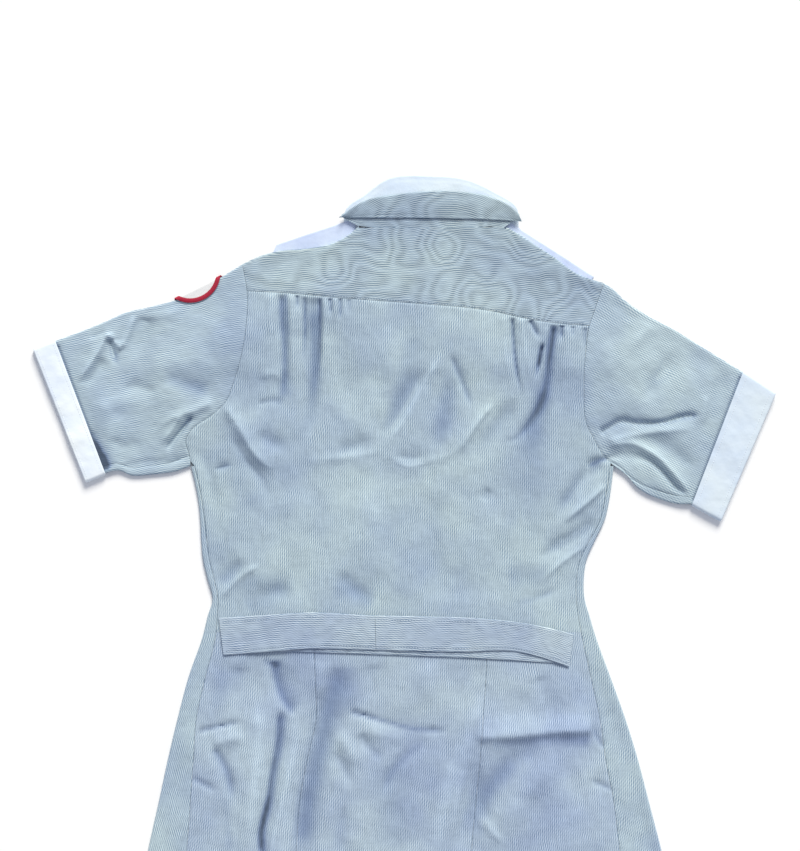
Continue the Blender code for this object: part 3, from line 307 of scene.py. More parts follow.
    Crease([(217, 201), (254, 210), (288, 214), (317, 218)], 5, 2.8, 1, 0.1, 0.3),
    Crease([(216, 196), (246, 200), (270, 188), (293, 165), (310, 144)], 5, 3.6, 1, 0.15, 0.1),
    Crease([(254, 207), (284, 195), (307, 176), (319, 160)], 9, -2.6, 1, 0.2, 0.3),
    Crease([(197.2, 173.8), (205.6, 179.1), (218.4, 183.4), (243.8, 186.6), (265, 181.3), (282, 166.4),
            (292.6, 153.7), (306.3, 144.2)], 3.2, -4.8, 1, 0.05, 0.06),
    Crease([(295, 299), (284, 282), (270, 263), (255, 242)], 9, -3, 1, 0.3, 0.3),
    Crease([(224, 353), (238, 349), (261, 336)], 9, -2.2, 1, 0.2, 0.2),
    Crease([(272, 331), (254, 312), (240, 295)], 7, 2.4, 1, 0.2, 0.4),
    Crease([(350, 278), (338, 246), (326, 210)], 9, -2.4, 1, 0.3, 0.3),
    Crease([(325, 254), (321, 217)], 5, 2, 1, 0.3, 0.3),
    Crease([(216, 312), (222, 288), (218, 263)], 9, 1.8, 1, 0.3, 0.4),
    Crease([(309.5, 298.9), (318, 307.4), (324.4, 303.2)], 4, -1.8, 1, 0.3, 0.3),
]

# The pressed-in line where each sleeve runs under its cuff, and the left cuff's mouth, each also
# painted in shade along its trough
CUFF_EDGES = [
    Crease([(-365, 309), (-339, 240), (-313, 170)], 2.2, -1.6, 1.0, 0.02, 0.02),
    Crease([(363, 276), (336, 205), (310, 136)], 2.2, -1.6, 1.0, 0.02, 0.02),
    Crease([(-334, 213), (-322, 192), (-313, 172)], 4.6, -2.2, 2.0, 0.2, 0.02),
]

# Painted light and shade in the cloth where no fold is shaped: a painted highlight over 0, painted
# shade under 0. They are laid out as creases are, with a strength in place of the height.
PAINTED_LIGHT_AND_SHADE = [
    Crease([(95, -97), (200, -95)], 9, 1.0, 1, 0.1, 0.1),
    Crease([(92, -117), (146, -111), (207, -113)], 9, -0.85, 1, 0.1, 0.1),
    Crease([(-63, -42), (-78, -110), (-96, -182), (-103, -231)], 13, -0.5, 1, 0.1, 0.1),
    Crease([(77, -99), (56, -146), (38, -231)], 8, 0.9, 1, 0.2, 0.1),
    Crease([(-153, -60), (-150, -117), (-157, -190)], 7, 0.6, 1, 0.2, 0.2),
    Crease([(-188, -161), (-183, -197), (-180, -240)], 6, -0.4, 1, 0.3, 0.2),
    Crease([(-106, -71), (-117, -146), (-124, -226)], 7, 0.7, 1, 0.2, 0.2),
    Crease([(-16, -121), (-9, -175), (-6, -240)], 26, -0.42, 1, 0.3, 0.2),
    Crease([(-58, -35), (-49, -89)], 12, -0.4, 1, 0.1, 0.3),
    Crease([(128, -135), (95, -168), (83, -226)], 11, -0.45, 1, 0.2, 0.2),
    Crease([(167, -139), (180, -233)], 16, 0.8, 1, 0.2, 0.2),
    Crease([(-188, -38), (-193, -89)], 11, -0.4, 1, 0.1, 0.3),
    Crease([(-93, 344), (-91, 279), (-94, 227)], 7, -0.5, 1, 0.1, 0.3),
    Crease([(-123, 282), (-120, 245)], 8, -0.5, 1, 0.3, 0.3),
    Crease([(19, 334), (0, 253), (-23, 193)], 14, -0.4, 1, 0.2, 0.2),
    Crease([(40, 287), (10, 237), (-15, 195)], 6, 0.7, 1, 0.2, 0.2),
    Crease([(55, 284), (40, 190)], 10, -0.35, 1, 0.2, 0.2),
    Crease([(153, 269), (145, 216), (121, 175)], 11, -0.5, 1, 0.2, 0.3),
    Crease([(92, 334), (94, 274)], 12, 0.4, 1, 0.1, 0.3),
    Crease([(-301, 275), (-245, 267), (-199, 252)], 15, -0.6, 1, 0.2, 0.15),
    Crease([(-296, 232), (-250, 237), (-209, 232)], 9, -0.35, 1, 0.3, 0.3),
    Crease([(-260, 336), (-209, 328), (-179, 310)], 13, 0.5, 1, 0.2, 0.2),
    Crease([(-326, 237), (-296, 211), (-250, 201)], 12, 0.5, 1, 0.3, 0.3),
    Crease([(-340, 258), (-326, 285), (-309, 308)], 2.4, 1.2, 1, 0.1, 0.1),
    Crease([(-282, 338), (-288, 321), (-293, 302)], 2.6, 1.0, 1, 0.1, 0.1),
    Crease([(-308, 309), (-302, 303), (-295, 300)], 2.2, 0.8, 1, 0.1, 0.1),
    Crease([(-304, 298), (-297, 282), (-290, 272)], 4.5, -0.4, 1, 0.2, 0.3),
    Crease([(-194, 58), (-102, 47)], 14, -0.4, 1, 0.2, 0.2),
    Crease([(-75, 47), (-21, 36)], 12, -0.4, 1, 0.2, 0.2),
    Crease([(110, 58), (164, 61)], 14, -0.45, 1, 0.2, 0.2),
    Crease([(150, 232), (137, 80)], 14, -0.3, 1, 0.2, 0.2),
    Crease([(-200, 205), (-178, 167), (-140, 123)], 13, -0.35, 1, 0.2, 0.2),
    Crease([(202, 194), (185, 112)], 8, 0.5, 1, 0.2, 0.2),
    Crease([(-37, 329), (-26, 221), (-32, 80)], 18, 0.35, 1, 0.2, 0.2),
    Crease([(-330, 240), (-270, 262), (-200, 300)], 34, 0.5, 1, 0.05, 0.05),
    # painted shadow in the darkest slits, where a fold closes on itself
    Crease([(-137, -168), (-143, -193), (-147, -213), (-145, -240)], 2.0, -1.8, 1, 0.3, 0.3),
    Crease([(150, 305), (145, 277)], 1.7, -0.9, 1, 0.2, 0.3),
    Crease([(164, 326), (160, 297), (155, 274)], 1.9, -0.8, 1, 0.1, 0.4),
    Crease([(-121, 360), (-120, 342), (-117, 297)], 1.9, -0.7, 1, 0.05, 0.4),
    Crease([(-325, 207), (-318, 191), (-311, 174)], 2.6, -2, 1, 0.4, 0.05),
    Crease([(-317, 191), (-313, 181), (-310, 172)], 3.4, -1.8, 1, 0.3, 0.05),
]

LATTICE = np.random.default_rng(23).uniform(-1, 1, (64, 64))

# Distances of the closest rows of points from an edge, where a seam needs them
FINE = (0.0, 0.7, 1.5, 2.6, 4.2, 6.4)

# Depth and half width of a seam's pressed-in line, and how far in from a folded edge creases start
SEAM_DEPTH = 0.5
SEAM_WIDTH = 1.1
CREASE_REACH = 13


def smooth(t):
    """0 below 0, 1 above 1, and an even S between."""
    t = np.clip(t, 0.0, 1.0)
    return t * t * (3 - 2 * t)


def unit(vectors):
    """Vectors drawn out or in to length 1."""
    return vectors / np.linalg.norm(vectors, axis=-1, keepdims=True)


def noise(x, y):
    """Smooth noise from -1 to 1: seeded lattice values, eased between the points of unit squares."""
    i, j = np.floor(x).astype(int), np.floor(y).astype(int)
    s, t = x - i, y - j
    s, t = s ** 3 * (s * (6 * s - 15) + 10), t ** 3 * (t * (6 * t - 15) + 10)
    near, far = LATTICE[i & 63, j & 63], LATTICE[(i + 1) & 63, j & 63]
    near_up, far_up = LATTICE[i & 63, (j + 1) & 63], LATTICE[(i + 1) & 63, (j + 1) & 63]
    return (near * (1 - s) + far * s) * (1 - t) + (near_up * (1 - s) + far_up * s) * t


def curve(points, where):
    """Points of a smooth curve through the given ones, at shares 0 to 1 of its chord length."""
    points = np.asarray(points, float)
    chords = np.linalg.norm(np.diff(points, axis=0), axis=1)
    knots = np.concatenate([[0], np.cumsum(chords)])
    slopes = np.gradient(points, knots, axis=0)
    t = np.asarray(where, float) * knots[-1]
    i = np.clip(np.searchsorted(knots, t, side="right") - 1, 0, len(knots) - 2)
    h = (knots[i + 1] - knots[i])[:, None]
    s = (t - knots[i])[:, None] / h
    return ((1 + 2 * s) * (1 - s) ** 2 * points[i] + s * (1 - s) ** 2 * h * slopes[i]
            + s * s * (3 - 2 * s) * points[i + 1] + s * s * (s - 1) * h * slopes[i + 1])


def run_length(points):
    """Length along a line of points, counted from its start."""
    chords = np.linalg.norm(np.diff(np.asarray(points, float), axis=0), axis=1)
    return np.concatenate([[0], np.cumsum(chords)])


def shares(length, step, fine=FINE):
    """Shares from 0 to 1 along a length: the fine distances at both ends and even steps between."""
    fine = np.asarray(fine)
    middle = np.linspace(fine[-1], length - fine[-1], max(int((length - 2 * fine[-1]) / step), 2))
    return np.concatenate([fine[:-1], middle, (length - fine[:-1])[::-1]]) / length


def blended(top, bottom, left, right):
    """A four-sided plan patch from its edges: the two rulings added, less the bilinear corners."""
    u = run_length(top) / run_length(top)[-1]
    v = run_length(left) / run_length(left)[-1]
    u, v = u[None, :, None], v[:, None, None]
    across = (1 - u) * left[:, None] + u * right[:, None]
    down = (1 - v) * top[None] + v * bottom[None]
    corners = ((1 - v) * ((1 - u) * top[0] + u * top[-1]) + v * ((1 - u) * bottom[0] + u * bottom[-1]))
    return across + down - corners


def section_at(y, column):
    """A column of the section table at height y in plan, eased through its rows."""
    rows = SECTIONS[::-1]
    knots = np.array([s.y for s in rows], float)
    values = np.array([getattr(s, column) for s in rows], float)
    slopes = np.gradient(values, knots)
    i = np.clip(np.searchsorted(knots, y, side="right") - 1, 0, len(knots) - 2)
    h = knots[i + 1] - knots[i]
    s = (y - knots[i]) / h
    return ((1 + 2 * s) * (1 - s) ** 2 * values[i] + s * (1 - s) ** 2 * h * slopes[i]
            + s * s * (3 - 2 * s) * values[i + 1] + s * s * (s - 1) * h * slopes[i + 1])


def section_line(column, first, last, count=60):
    """Plan points down a column of the section table."""
    y = np.linspace(first, last, count)
    return np.stack([section_at(y, column), y], axis=1)


def centre_front(y):
    """X of the middle of the buttoned front, which doesn't lie quite straight."""
    return np.interp(y, CENTRE_FRONT_Y, CENTRE_FRONT_X)


def eased_line(points, count=40):
    """Points at even shares along the smooth curve through the given ones."""
    return curve(points, np.linspace(0, 1, count))


# Lines of the plan: where the dress folds over, its seams, and the waist darts
FOLDED_EDGES = [
    np.concatenate([eased_line(SHOULDER_LEFT[::-1]), eased_line(SLEEVE_TOP_LEFT),
                    [CUFF_LEFT.outer_top]]),
    np.concatenate([[CUFF_LEFT.outer_bottom], eased_line(SLEEVE_BOTTOM_LEFT[::-1]),
                    section_line("left", UNDERARM_Y, HEM_Y, 90)]),
    np.concatenate([eased_line(SHOULDER_RIGHT), eased_line(SLEEVE_TOP_RIGHT), [CUFF_RIGHT.outer_top]]),
    np.concatenate([[CUFF_RIGHT.outer_bottom], eased_line(SLEEVE_BOTTOM_RIGHT[::-1]),
                    section_line("right", UNDERARM_Y, HEM_Y, 90)]),
]
SEAMS = [
    eased_line(YOKE_SEAM, 50),
    eased_line(ARMHOLE_LEFT, 60),
    eased_line(ARMHOLE_RIGHT, 60),
    section_line("left_seam", UNDERARM_Y, HEM_Y, 80),
    section_line("right_seam", UNDERARM_Y, HEM_Y, 80),
    section_line("left_gore", -20, HEM_Y, 60),
    section_line("right_gore", -20, HEM_Y, 60),
]
DARTS = [
    np.array([(-92.0, 203.0), (-91.5, 123.0), (-91.5, 20.0)]),
    np.array([(101.5, 161.0), (100.0, 96.0), (95.0, 44.0), (91.0, 18.0)]),
]


def distance_to(plan, lines):
    """How far each plan point lies from the nearest of some lines of straight pieces."""
    flat = plan.reshape(-1, 2)
    nearest = np.full(len(flat), 1e6)
    for line in lines:
        for a, b in zip(line[:-1], line[1:]):
            along = b - a
            share = np.clip((flat - a) @ along / max(along @ along, 1e-9), 0, 1)
            apart = flat - a - share[:, None] * along
            nearest = np.minimum(nearest, (apart * apart).sum(axis=1))
    return np.sqrt(nearest).reshape(plan.shape[:-1])


def cuff_share(plan):
    """1 under a cuff, fading to 0 over the last 22 mm of sleeve before it, and 0 below the sleeves."""
    start, fade, waist = 24, 22, 60
    share = np.zeros(plan.shape[:-1])
    for cuff in (CUFF_LEFT, CUFF_RIGHT):
        top, bottom = np.asarray(cuff.inner_top, float), np.asarray(cuff.inner_bottom, float)
        along = unit(bottom - top)
        outward = np.array([along[1], -along[0]])
        if outward @ (np.asarray(cuff.outer_top) - top) < 0:
            outward = -outward
        share = np.maximum(share, smooth(((plan - top) @ outward + start) / fade))
    return share * smooth((plan[..., 1] - waist) / 30)


def rise(plan):
    """How far the dress lies above the table over the straps, collar and badge, and inside the cuffs:
    one rise, eased in from the chest up and between the two sleeves."""
    x, y = plan[..., 0], plan[..., 1]
    chest, left_sleeve, right_sleeve = 260, -272, 262
    across = smooth((x - left_sleeve) / 14) * smooth((right_sleeve - x) / 14)
    shoulders = smooth((y - chest) / 26) * across
    return SHOULDER_RISE * np.maximum(shoulders, cuff_share(plan))


def placket_share(plan):
    """1 over the buttoned overlap of the fronts, fading to 0 on each side."""
    half_width, fade = 44, 24
    return smooth((half_width - np.abs(plan[..., 0] - centre_front(plan[..., 1]))) / fade)


def base(plan):
    """Height of the underside of the front layer."""
    return np.maximum(rise(plan), PLACKET_RISE * placket_share(plan))


def relief(plan, creases):
    """The sum of the creases: a crest across each line, fading at both ends.

    Wide ones have a bell's profile and narrow ones fall away more sharply, like e to the power of
    minus the distance.
    """
    flat = plan.reshape(-1, 2)
    height = np.zeros(len(flat))
    for c in creases:
        line = curve(c.line, np.linspace(0, 1, 4 * len(c.line)))
        # further than five widths away nothing is left of a crease
        reach = 5 * c.width * max(c.lean, 1.0)
        low, high = line.min(axis=0) - reach, line.max(axis=0) + reach
        near = np.flatnonzero(((flat > low) & (flat < high)).all(axis=1))
        if not len(near):
            continue
        lengths = run_length(line)
        best, aside, way = np.full(len(near), 1e6), np.zeros(len(near)), np.zeros(len(near))
        for k in range(len(line) - 1):
            along = line[k + 1] - line[k]
            share = np.clip((flat[near] - line[k]) @ along / (along @ along), 0, 1)
            apart = flat[near] - line[k] - share[:, None] * along
            distance = np.linalg.norm(apart, axis=1)
            closer = distance < best
            best = np.where(closer, distance, best)
            aside = np.where(closer, along[0] * apart[:, 1] - along[1] * apart[:, 0], aside)
            reached = lengths[k] + share * (lengths[k + 1] - lengths[k])
            way = np.where(closer, reached / lengths[-1], way)
        width = c.width * np.where(aside > 0, c.lean, 1.0)
        fade = smooth(way / c.fade_in) * smooth((1 - way) / c.fade_out)
        far = best / width
        bell, sharp = np.exp(-(far ** 2)), np.exp(1.5 * (0.25 - np.sqrt(far ** 2 + 0.0625)))
        crisp = smooth((10 - c.width) / 5)
        height[near] += c.height * fade * (bell + crisp * (sharp - bell))
    return height.reshape(plan.shape[:-1])


def rumple(plan):
    """Small unevenness of pressed cotton: drifting patches, folds that hang below the waist and fine
    cockles, each a noise drawn out as far as it is long in the cloth."""
    x, y = plan[..., 0], plan[..., 1]
    drift_x, drift_y = 9 * noise(x / 70 + 3, y / 70), 9 * noise(x / 70, y / 70 + 9)
    below = smooth((40 - y) / 120)
    patches = 1.7 * noise((x + drift_x) / 40 + 5, (y + drift_y) / 52 + 2)
    hanging = 1.6 * below * noise((x + drift_x) / 26 + 8, y / 190 + 1)
    cockles = (0.55 * noise((x + 0.4 * y) / 17 + 7, (y - 0.3 * x) / 19)
               + 0.18 * noise(x / 7 + 1, y / 8 + 4))
    return patches + hanging + cockles


def seam_relief(plan, seams):
    """The pressed-in line of each seam with the slight pucker of the cloth beside it."""
    gap = distance_to(plan, seams)
    x, y = plan[..., 0], plan[..., 1]
    pucker = 0.28 * noise(x / 4.3, y / 4.3) * np.exp(-((gap / 6) ** 2))
    line, beside = SEAM_DEPTH * np.exp(-((gap / SEAM_WIDTH) ** 2)), 3.2
    return pucker - line + 0.05 * np.exp(-(((gap - beside) / 1.8) ** 2))


def top_height(plan, gathered=False):
    """Height of the upper face of the back layer: folded edge, loft, creases and seams.

    Where a trough would reach the layer beneath, it flattens out softly just above it.
    """
    neck_start, neck_fade, belt_reach, belt_fade = 330, 80, 46, 20
    inside = distance_to(plan, FOLDED_EDGES) - FOLD_RADIUS
    near_neck = smooth((plan[..., 1] - neck_start) / neck_fade)
    loft = LOFT * smooth(inside / LOFT_REACH) * (1 - 0.75 * near_neck)
    flat_belt = 1 - 0.85 * smooth((belt_reach - np.abs(plan[..., 1])) / belt_fade)
    creases = relief(plan, CREASES + (GATHERS if gathered else []))
    creases = creases + rumple(plan) * (1 - 0.5 * near_neck)
    clear = 1 - cuff_share(plan)
    darts = SEAM_DEPTH * np.exp(-((distance_to(plan, DARTS) / SEAM_WIDTH) ** 2))
    seams = seam_relief(plan, SEAMS) - darts
    height = rise(plan) + FOLD_HEIGHT + (loft + creases * smooth(inside / CREASE_REACH) * flat_belt
                                         + seams * smooth(inside / 2)) * clear
    height = height + relief(plan, CUFF_EDGES) * smooth(inside / 3)
    overlap = placket_share(plan) * (CLOTH + 3 * SEAM_GAP)
    lowest = base(plan) + SOLID_WALL + 2 * SEAM_GAP + CLOTH + overlap
    over, softness = height - lowest, 0.3
    return lowest + (over + np.sqrt(over * over + softness)) / 2


def painted_fold_shading(plan, gathered=False):
    """Painted light and shade of each point of the back: from 1 for a painted highlight on a ridge to -1
    for painted shade in a trough and -2 for a painted shadow in a slit.

    It is the height of the creases over a set one, greater for wide creases, with the cuff edges and the
    painted tones added.
    """
    wide, narrow_height, wide_height = 6, 4.2, 8
    inside = distance_to(plan, FOLDED_EDGES) - FOLD_RADIUS
    clear = smooth(inside / CREASE_REACH) * (1 - cuff_share(plan))
    creases = CREASES + (GATHERS if gathered else [])
    # troughs of the creases become painted shade and their ridges a painted highlight
    folds = (relief(plan, [c for c in creases if c.width < wide]) / narrow_height
             + relief(plan, [c for c in creases if c.width >= wide]) / wide_height)
    # the cuff edges and the tones add more painted shade and painted light
    return np.clip(folds * clear + relief(plan, CUFF_EDGES) / 2 + relief(plan, PAINTED_LIGHT_AND_SHADE), -2, 1)


def at_height(plan, height):
    """Plan points with a height added to each."""
    return np.concatenate([plan, np.broadcast_to(height, plan.shape[:-1])[..., None]], axis=-1)


def front_height(plan, over=0.0):
    """Height of the outer, lower face of the front layer.

    over lifts one front above the other from just beside the overlap on, and further beside it at
    the neck, where the collar's points part the two fronts.
    """
    beside = plan[..., 0] - centre_front(plan[..., 1])
    room, neck_room, neck_start = 18, 44, 300
    wider = neck_room * smooth((plan[..., 1] - neck_start) / 20)
    return base(plan) + over * smooth((beside + OVERLAP + room + wider) / 14)


def fold_round(inset, inward, radius, low, angles):
    """Half-round edge between the layers: angle 0 at the upper one, pi at the lower one."""
    angles = np.asarray(angles)[None, :, None]
    plan = inset[:, None, :] - radius * inward[:, None, :] * np.sin(angles)
    level = (low + radius)[:, None, None] + radius * np.cos(angles)
    return np.concatenate([plan, level], axis=-1)


# Angles of the rows of a half-round edge, between the two layers
ARC = np.linspace(0, pi, 12)[1:-1]


def eased(points, sides, gap=SEAM_GAP / 2):
    """Draws the named sides of a grid of points in by half the seam gap."""
    points = points.copy()
    for side in sides:
        edge, next_in = {
            "top": (np.s_[0], np.s_[1]),
            "bottom": (np.s_[-1], np.s_[-2]),
            "left": (np.s_[:, 0], np.s_[:, 1]),
            "right": (np.s_[:, -1], np.s_[:, -2]),
        }[side]
        points[edge] += gap * unit(points[next_in] - points[edge])
    return points


# Colours and finishes. Lengths in the materials are metres.
CORD_PITCH = 0.0021
DASH_PITCH = 0.0046
DASH_SLANT = -1.6
CORD_WANDER = 0.014
BANDS = 12


def linear(colour):
    """An sRGB hex colour as linear red, green and blue with alpha 1."""
    channels = np.array([int(colour[k:k + 2], 16) for k in (1, 3, 5)]) / 255
    bright = ((channels + 0.055) / 1.055) ** 2.4
    return (*np.where(channels <= 0.04045, channels / 12.92, bright), 1.0)


def add(tree, kind, inputs=None, **settings):
    """Adds a node: settings are its own properties, inputs are values or outputs by socket."""
    made = tree.nodes.new(kind)
    for key, value in settings.items():
        setattr(made, key, value)
    for key, value in (inputs or {}).items():
        if isinstance(value, bpy.types.NodeSocket):
            tree.links.new(value, made.inputs[key])
        else:
            made.inputs[key].default_value = value
    return made


def new_material(name, roughness, sheen=0.0):
    """A material with a low gloss and a little sheen, its node tree and its shader."""
    made = bpy.data.materials.new(name)
    made.use_nodes = True
    shader = made.node_tree.nodes["Principled BSDF"]
    shader.inputs["Roughness"].default_value = roughness
    shader.inputs["Specular IOR Level"].default_value = 0.25
    shader.inputs["Sheen Weight"].default_value = sheen
    shader.inputs["Sheen Roughness"].default_value = 0.5
    return made, made.node_tree, shader


def pincord_cotton(name, blue, white, shade, stripe_depth, dash_share, beat_share):
    """Yarn-dyed cotton poplin with a fine white cord stripe, woven, washed and pressed.

    The eye sees matt blue and white hairlines along the grain, broken into short slanting dashes, and
    bands where they beat together like contour lines, with cooler and greyer clouds where the cloth
    has been washed. Painted shade makes the troughs of folds a little darker and bluer, and a painted
    highlight makes ridges paler. The real stripe is about 1 mm; it is drawn at 2.1 mm so that it shows,
    and drifts a few millimetres where the cloth has been pulled. The weave is drawn at 1.1 mm for
    threads of 0.25 mm. Where a fold closes on itself, the slit is painted in shade, a dark grey blue.

    blue and white are the yarns and shade is the colour of the washed clouds. stripe_depth says how
    clearly the stripe shows, dash_share how far it breaks into dashes, and beat_share how strong the
    bands are.
    """
    made, tree, shader = new_material(name, 0.82, 0.06)
    grain = add(tree, "ShaderNodeUVMap", uv_map="cloth")
    place = add(tree, "ShaderNodeTexCoord")
    wander = add(tree, "ShaderNodeTexNoise", {"Vector": grain.outputs["UV"], "Scale": 11.0,
                                              "Detail": 3.0, "Roughness": 0.6})
    parts = add(tree, "ShaderNodeSeparateXYZ", {"Vector": grain.outputs["UV"]})
    shifted = add(tree, "ShaderNodeMath", {0: wander.outputs["Fac"], 1: CORD_WANDER,
                                            2: parts.outputs["X"]}, operation="MULTIPLY_ADD")
    turns = add(tree, "ShaderNodeMath", {0: shifted.outputs[0], 1: 2 * pi / CORD_PITCH},
                operation="MULTIPLY")
    wave = add(tree, "ShaderNodeMath", {0: turns.outputs[0]}, operation="SINE")
    slanted = add(tree, "ShaderNodeMath", {0: shifted.outputs[0], 1: DASH_SLANT, 2: parts.outputs["Y"]},
                  operation="MULTIPLY_ADD")
    slanted_turns = add(tree, "ShaderNodeMath", {0: slanted.outputs[0], 1: 2 * pi / DASH_PITCH},
                        operation="MULTIPLY")
    dashes = add(tree, "ShaderNodeMath", {0: slanted_turns.outputs[0]}, operation="SINE")
    drift = add(tree, "ShaderNodeTexNoise", {"Vector": grain.outputs["UV"], "Scale": 15.0, "Detail": 1.5,
                                             "Roughness": 0.4})
    beat_turns = add(tree, "ShaderNodeMath", {0: drift.outputs["Fac"], 1: 2 * pi * BANDS},
                     operation="MULTIPLY")
    beat = add(tree, "ShaderNodeMath", {0: beat_turns.outputs[0]}, operation="SINE")
    broken = add(tree, "ShaderNodeTexNoise", {"Vector": grain.outputs["UV"], "Scale": 70.0,
                                              "Detail": 3.0})
    patchy = add(tree, "ShaderNodeMapRange", {"Value": broken.outputs["Fac"], "From Min": 0.32,
                                              "From Max": 0.68, "To Min": 0.1, "To Max": stripe_depth})
    beaten = add(tree, "ShaderNodeMath", {0: beat.outputs[0], 1: beat_share, 2: patchy.outputs[0]},
                 operation="MULTIPLY_ADD")
    dashed = add(tree, "ShaderNodeMath", {0: dashes.outputs[0], 1: dash_share, 2: wave.outputs[0]},
                 operation="MULTIPLY_ADD")
    worn = add(tree, "ShaderNodeMath", {0: dashed.outputs[0], 1: beaten.outputs[0]},
               operation="MULTIPLY")
    stripe = add(tree, "ShaderNodeMapRange", {"Value": worn.outputs[0], "From Min": -1.0,
                                              "From Max": 1.0}, interpolation_type="SMOOTHSTEP")
    drawn_out = add(tree, "ShaderNodeMapping", {"Vector": grain.outputs["UV"],
                                                "Scale": (900.0, 45.0, 1.0)})
    slubs = add(tree, "ShaderNodeTexNoise", {"Vector": drawn_out.outputs[0], "Scale": 1.0,
                                             "Detail": 2.0})
    clouds = add(tree, "ShaderNodeTexNoise",
                 {"Vector": place.outputs["Object"], "Scale": 9.0, "Detail": 3.0, "Roughness": 0.55})
    yarn = add(tree, "ShaderNodeMix", {"Factor": stripe.outputs[0], "A": linear(blue),
                                       "B": linear(white)}, data_type="RGBA")
    wet_range = add(tree, "ShaderNodeMapRange", {"Value": clouds.outputs["Fac"], "From Min": 0.38,
                                                 "From Max": 0.66, "To Max": 0.6})
    washed = add(tree, "ShaderNodeMix", {"Factor": wet_range.outputs[0], "A": yarn.outputs["Result"],
                                         "B": linear(shade)}, data_type="RGBA", blend_type="MULTIPLY")
    # Painted light and shade of the folds, read from the points: painted shade in troughs first
    fold = add(tree, "ShaderNodeAttribute", attribute_name="painted_fold_shading")
    trough = add(tree, "ShaderNodeMapRange", {"Value": fold.outputs["Fac"], "From Min": -0.1,
                                              "From Max": -1.0, "To Max": 0.8})
    shaded_troughs = add(tree, "ShaderNodeMix", {"Factor": trough.outputs[0], "A": washed.outputs["Result"],
                                       "B": linear("#AEB8D4")}, data_type="RGBA", blend_type="MULTIPLY")
    # painted shadow in slits, a dark grey blue
    slit = add(tree, "ShaderNodeMapRange", {"Value": fold.outputs["Fac"], "From Min": -0.9,
                                            "From Max": -2.0})
    shut = add(tree, "ShaderNodeMix", {"Factor": slit.outputs[0], "A": shaded_troughs.outputs["Result"],
                                       "B": linear("#4E5C70")}, data_type="RGBA")
    # painted highlight on ridges, paler
    ridge = add(tree, "ShaderNodeMapRange", {"Value": fold.outputs["Fac"], "From Min": 0.1,
                                             "From Max": 1.0, "To Min": 1.0, "To Max": 1.12})
    pale = add(tree, "ShaderNodeVectorMath", {0: shut.outputs["Result"], "Scale": ridge.outputs[0]},
               operation="SCALE")
    slub_range = add(tree, "ShaderNodeMapRange", {"Value": slubs.outputs["Fac"], "From Min": 0.3,
                                                  "From Max": 0.7, "To Min": 0.91, "To Max": 1.07})
    bands = add(tree, "ShaderNodeMapRange", {"Value": beat.outputs[0], "From Min": -1.0, "From Max": 1.0,
                                             "To Min": 1 + 0.08 * beat_share,
                                             "To Max": 1 - 0.14 * beat_share})
    uneven = add(tree, "ShaderNodeMath", {0: slub_range.outputs[0], 1: bands.outputs[0]},
                 operation="MULTIPLY")
    toned = add(tree, "ShaderNodeVectorMath", {0: pale.outputs[0], "Scale": uneven.outputs[0]},
                operation="SCALE")
    tree.links.new(toned.outputs[0], shader.inputs["Base Color"])
    weave = add(tree, "ShaderNodeTexNoise", {"Vector": grain.outputs["UV"], "Scale": 900.0,
                                             "Detail": 1.0})
    crumple = add(tree, "ShaderNodeTexNoise",
                  {"Vector": place.outputs["Object"], "Scale": 110.0, "Detail": 3.0, "Roughness": 0.6})
    height = add(tree, "ShaderNodeMath", {0: stripe.outputs[0], 1: 0.35, 2: weave.outputs["Fac"]},
                 operation="MULTIPLY_ADD")
    fine = add(tree, "ShaderNodeBump", {"Height": height.outputs[0], "Strength": 0.35,
                                        "Distance": 0.0002})
    rough = add(tree, "ShaderNodeBump", {"Height": crumple.outputs["Fac"], "Strength": 0.5,
                                         "Distance": 0.0014, "Normal": fine.outputs[0]})
    tree.links.new(rough.outputs[0], shader.inputs["Normal"])
    return made


def plain_cotton(name, colour, tint):
    """White cotton poplin, starched and pressed.

    The eye sees a bright matt white with cool grey clouds and a fine weave. Threads of 0.25 mm are
    drawn at 1 mm so that they show.
    """
    made, tree, shader = new_material(name, 0.75, 0.05)
    place = add(tree, "ShaderNodeTexCoord")
    clouds = add(tree, "ShaderNodeTexNoise",
                 {"Vector": place.outputs["Object"], "Scale": 22.0, "Detail": 3.0, "Roughness": 0.55})
    cloudy = add(tree, "ShaderNodeMapRange", {"Value": clouds.outputs["Fac"], "From Min": 0.35,
                                              "From Max": 0.7})
    tone = add(tree, "ShaderNodeMix", {"Factor": cloudy.outputs[0], "A": linear(colour),
                                       "B": linear(tint)}, data_type="RGBA")
    tree.links.new(tone.outputs["Result"], shader.inputs["Base Color"])
    weave = add(tree, "ShaderNodeTexNoise", {"Vector": place.outputs["Object"], "Scale": 1000.0,
                                             "Detail": 1.0})
    crumple = add(tree, "ShaderNodeTexNoise",
                  {"Vector": place.outputs["Object"], "Scale": 90.0, "Detail": 2.0, "Roughness": 0.6})
    fine = add(tree, "ShaderNodeBump", {"Height": weave.outputs["Fac"], "Strength": 0.25,
                                        "Distance": 0.0002})
    rough = add(tree, "ShaderNodeBump", {"Height": crumple.outputs["Fac"], "Strength": 0.4,
                                         "Distance": 0.0012, "Normal": fine.outputs[0]})
    tree.links.new(rough.outputs[0], shader.inputs["Normal"])
    return made


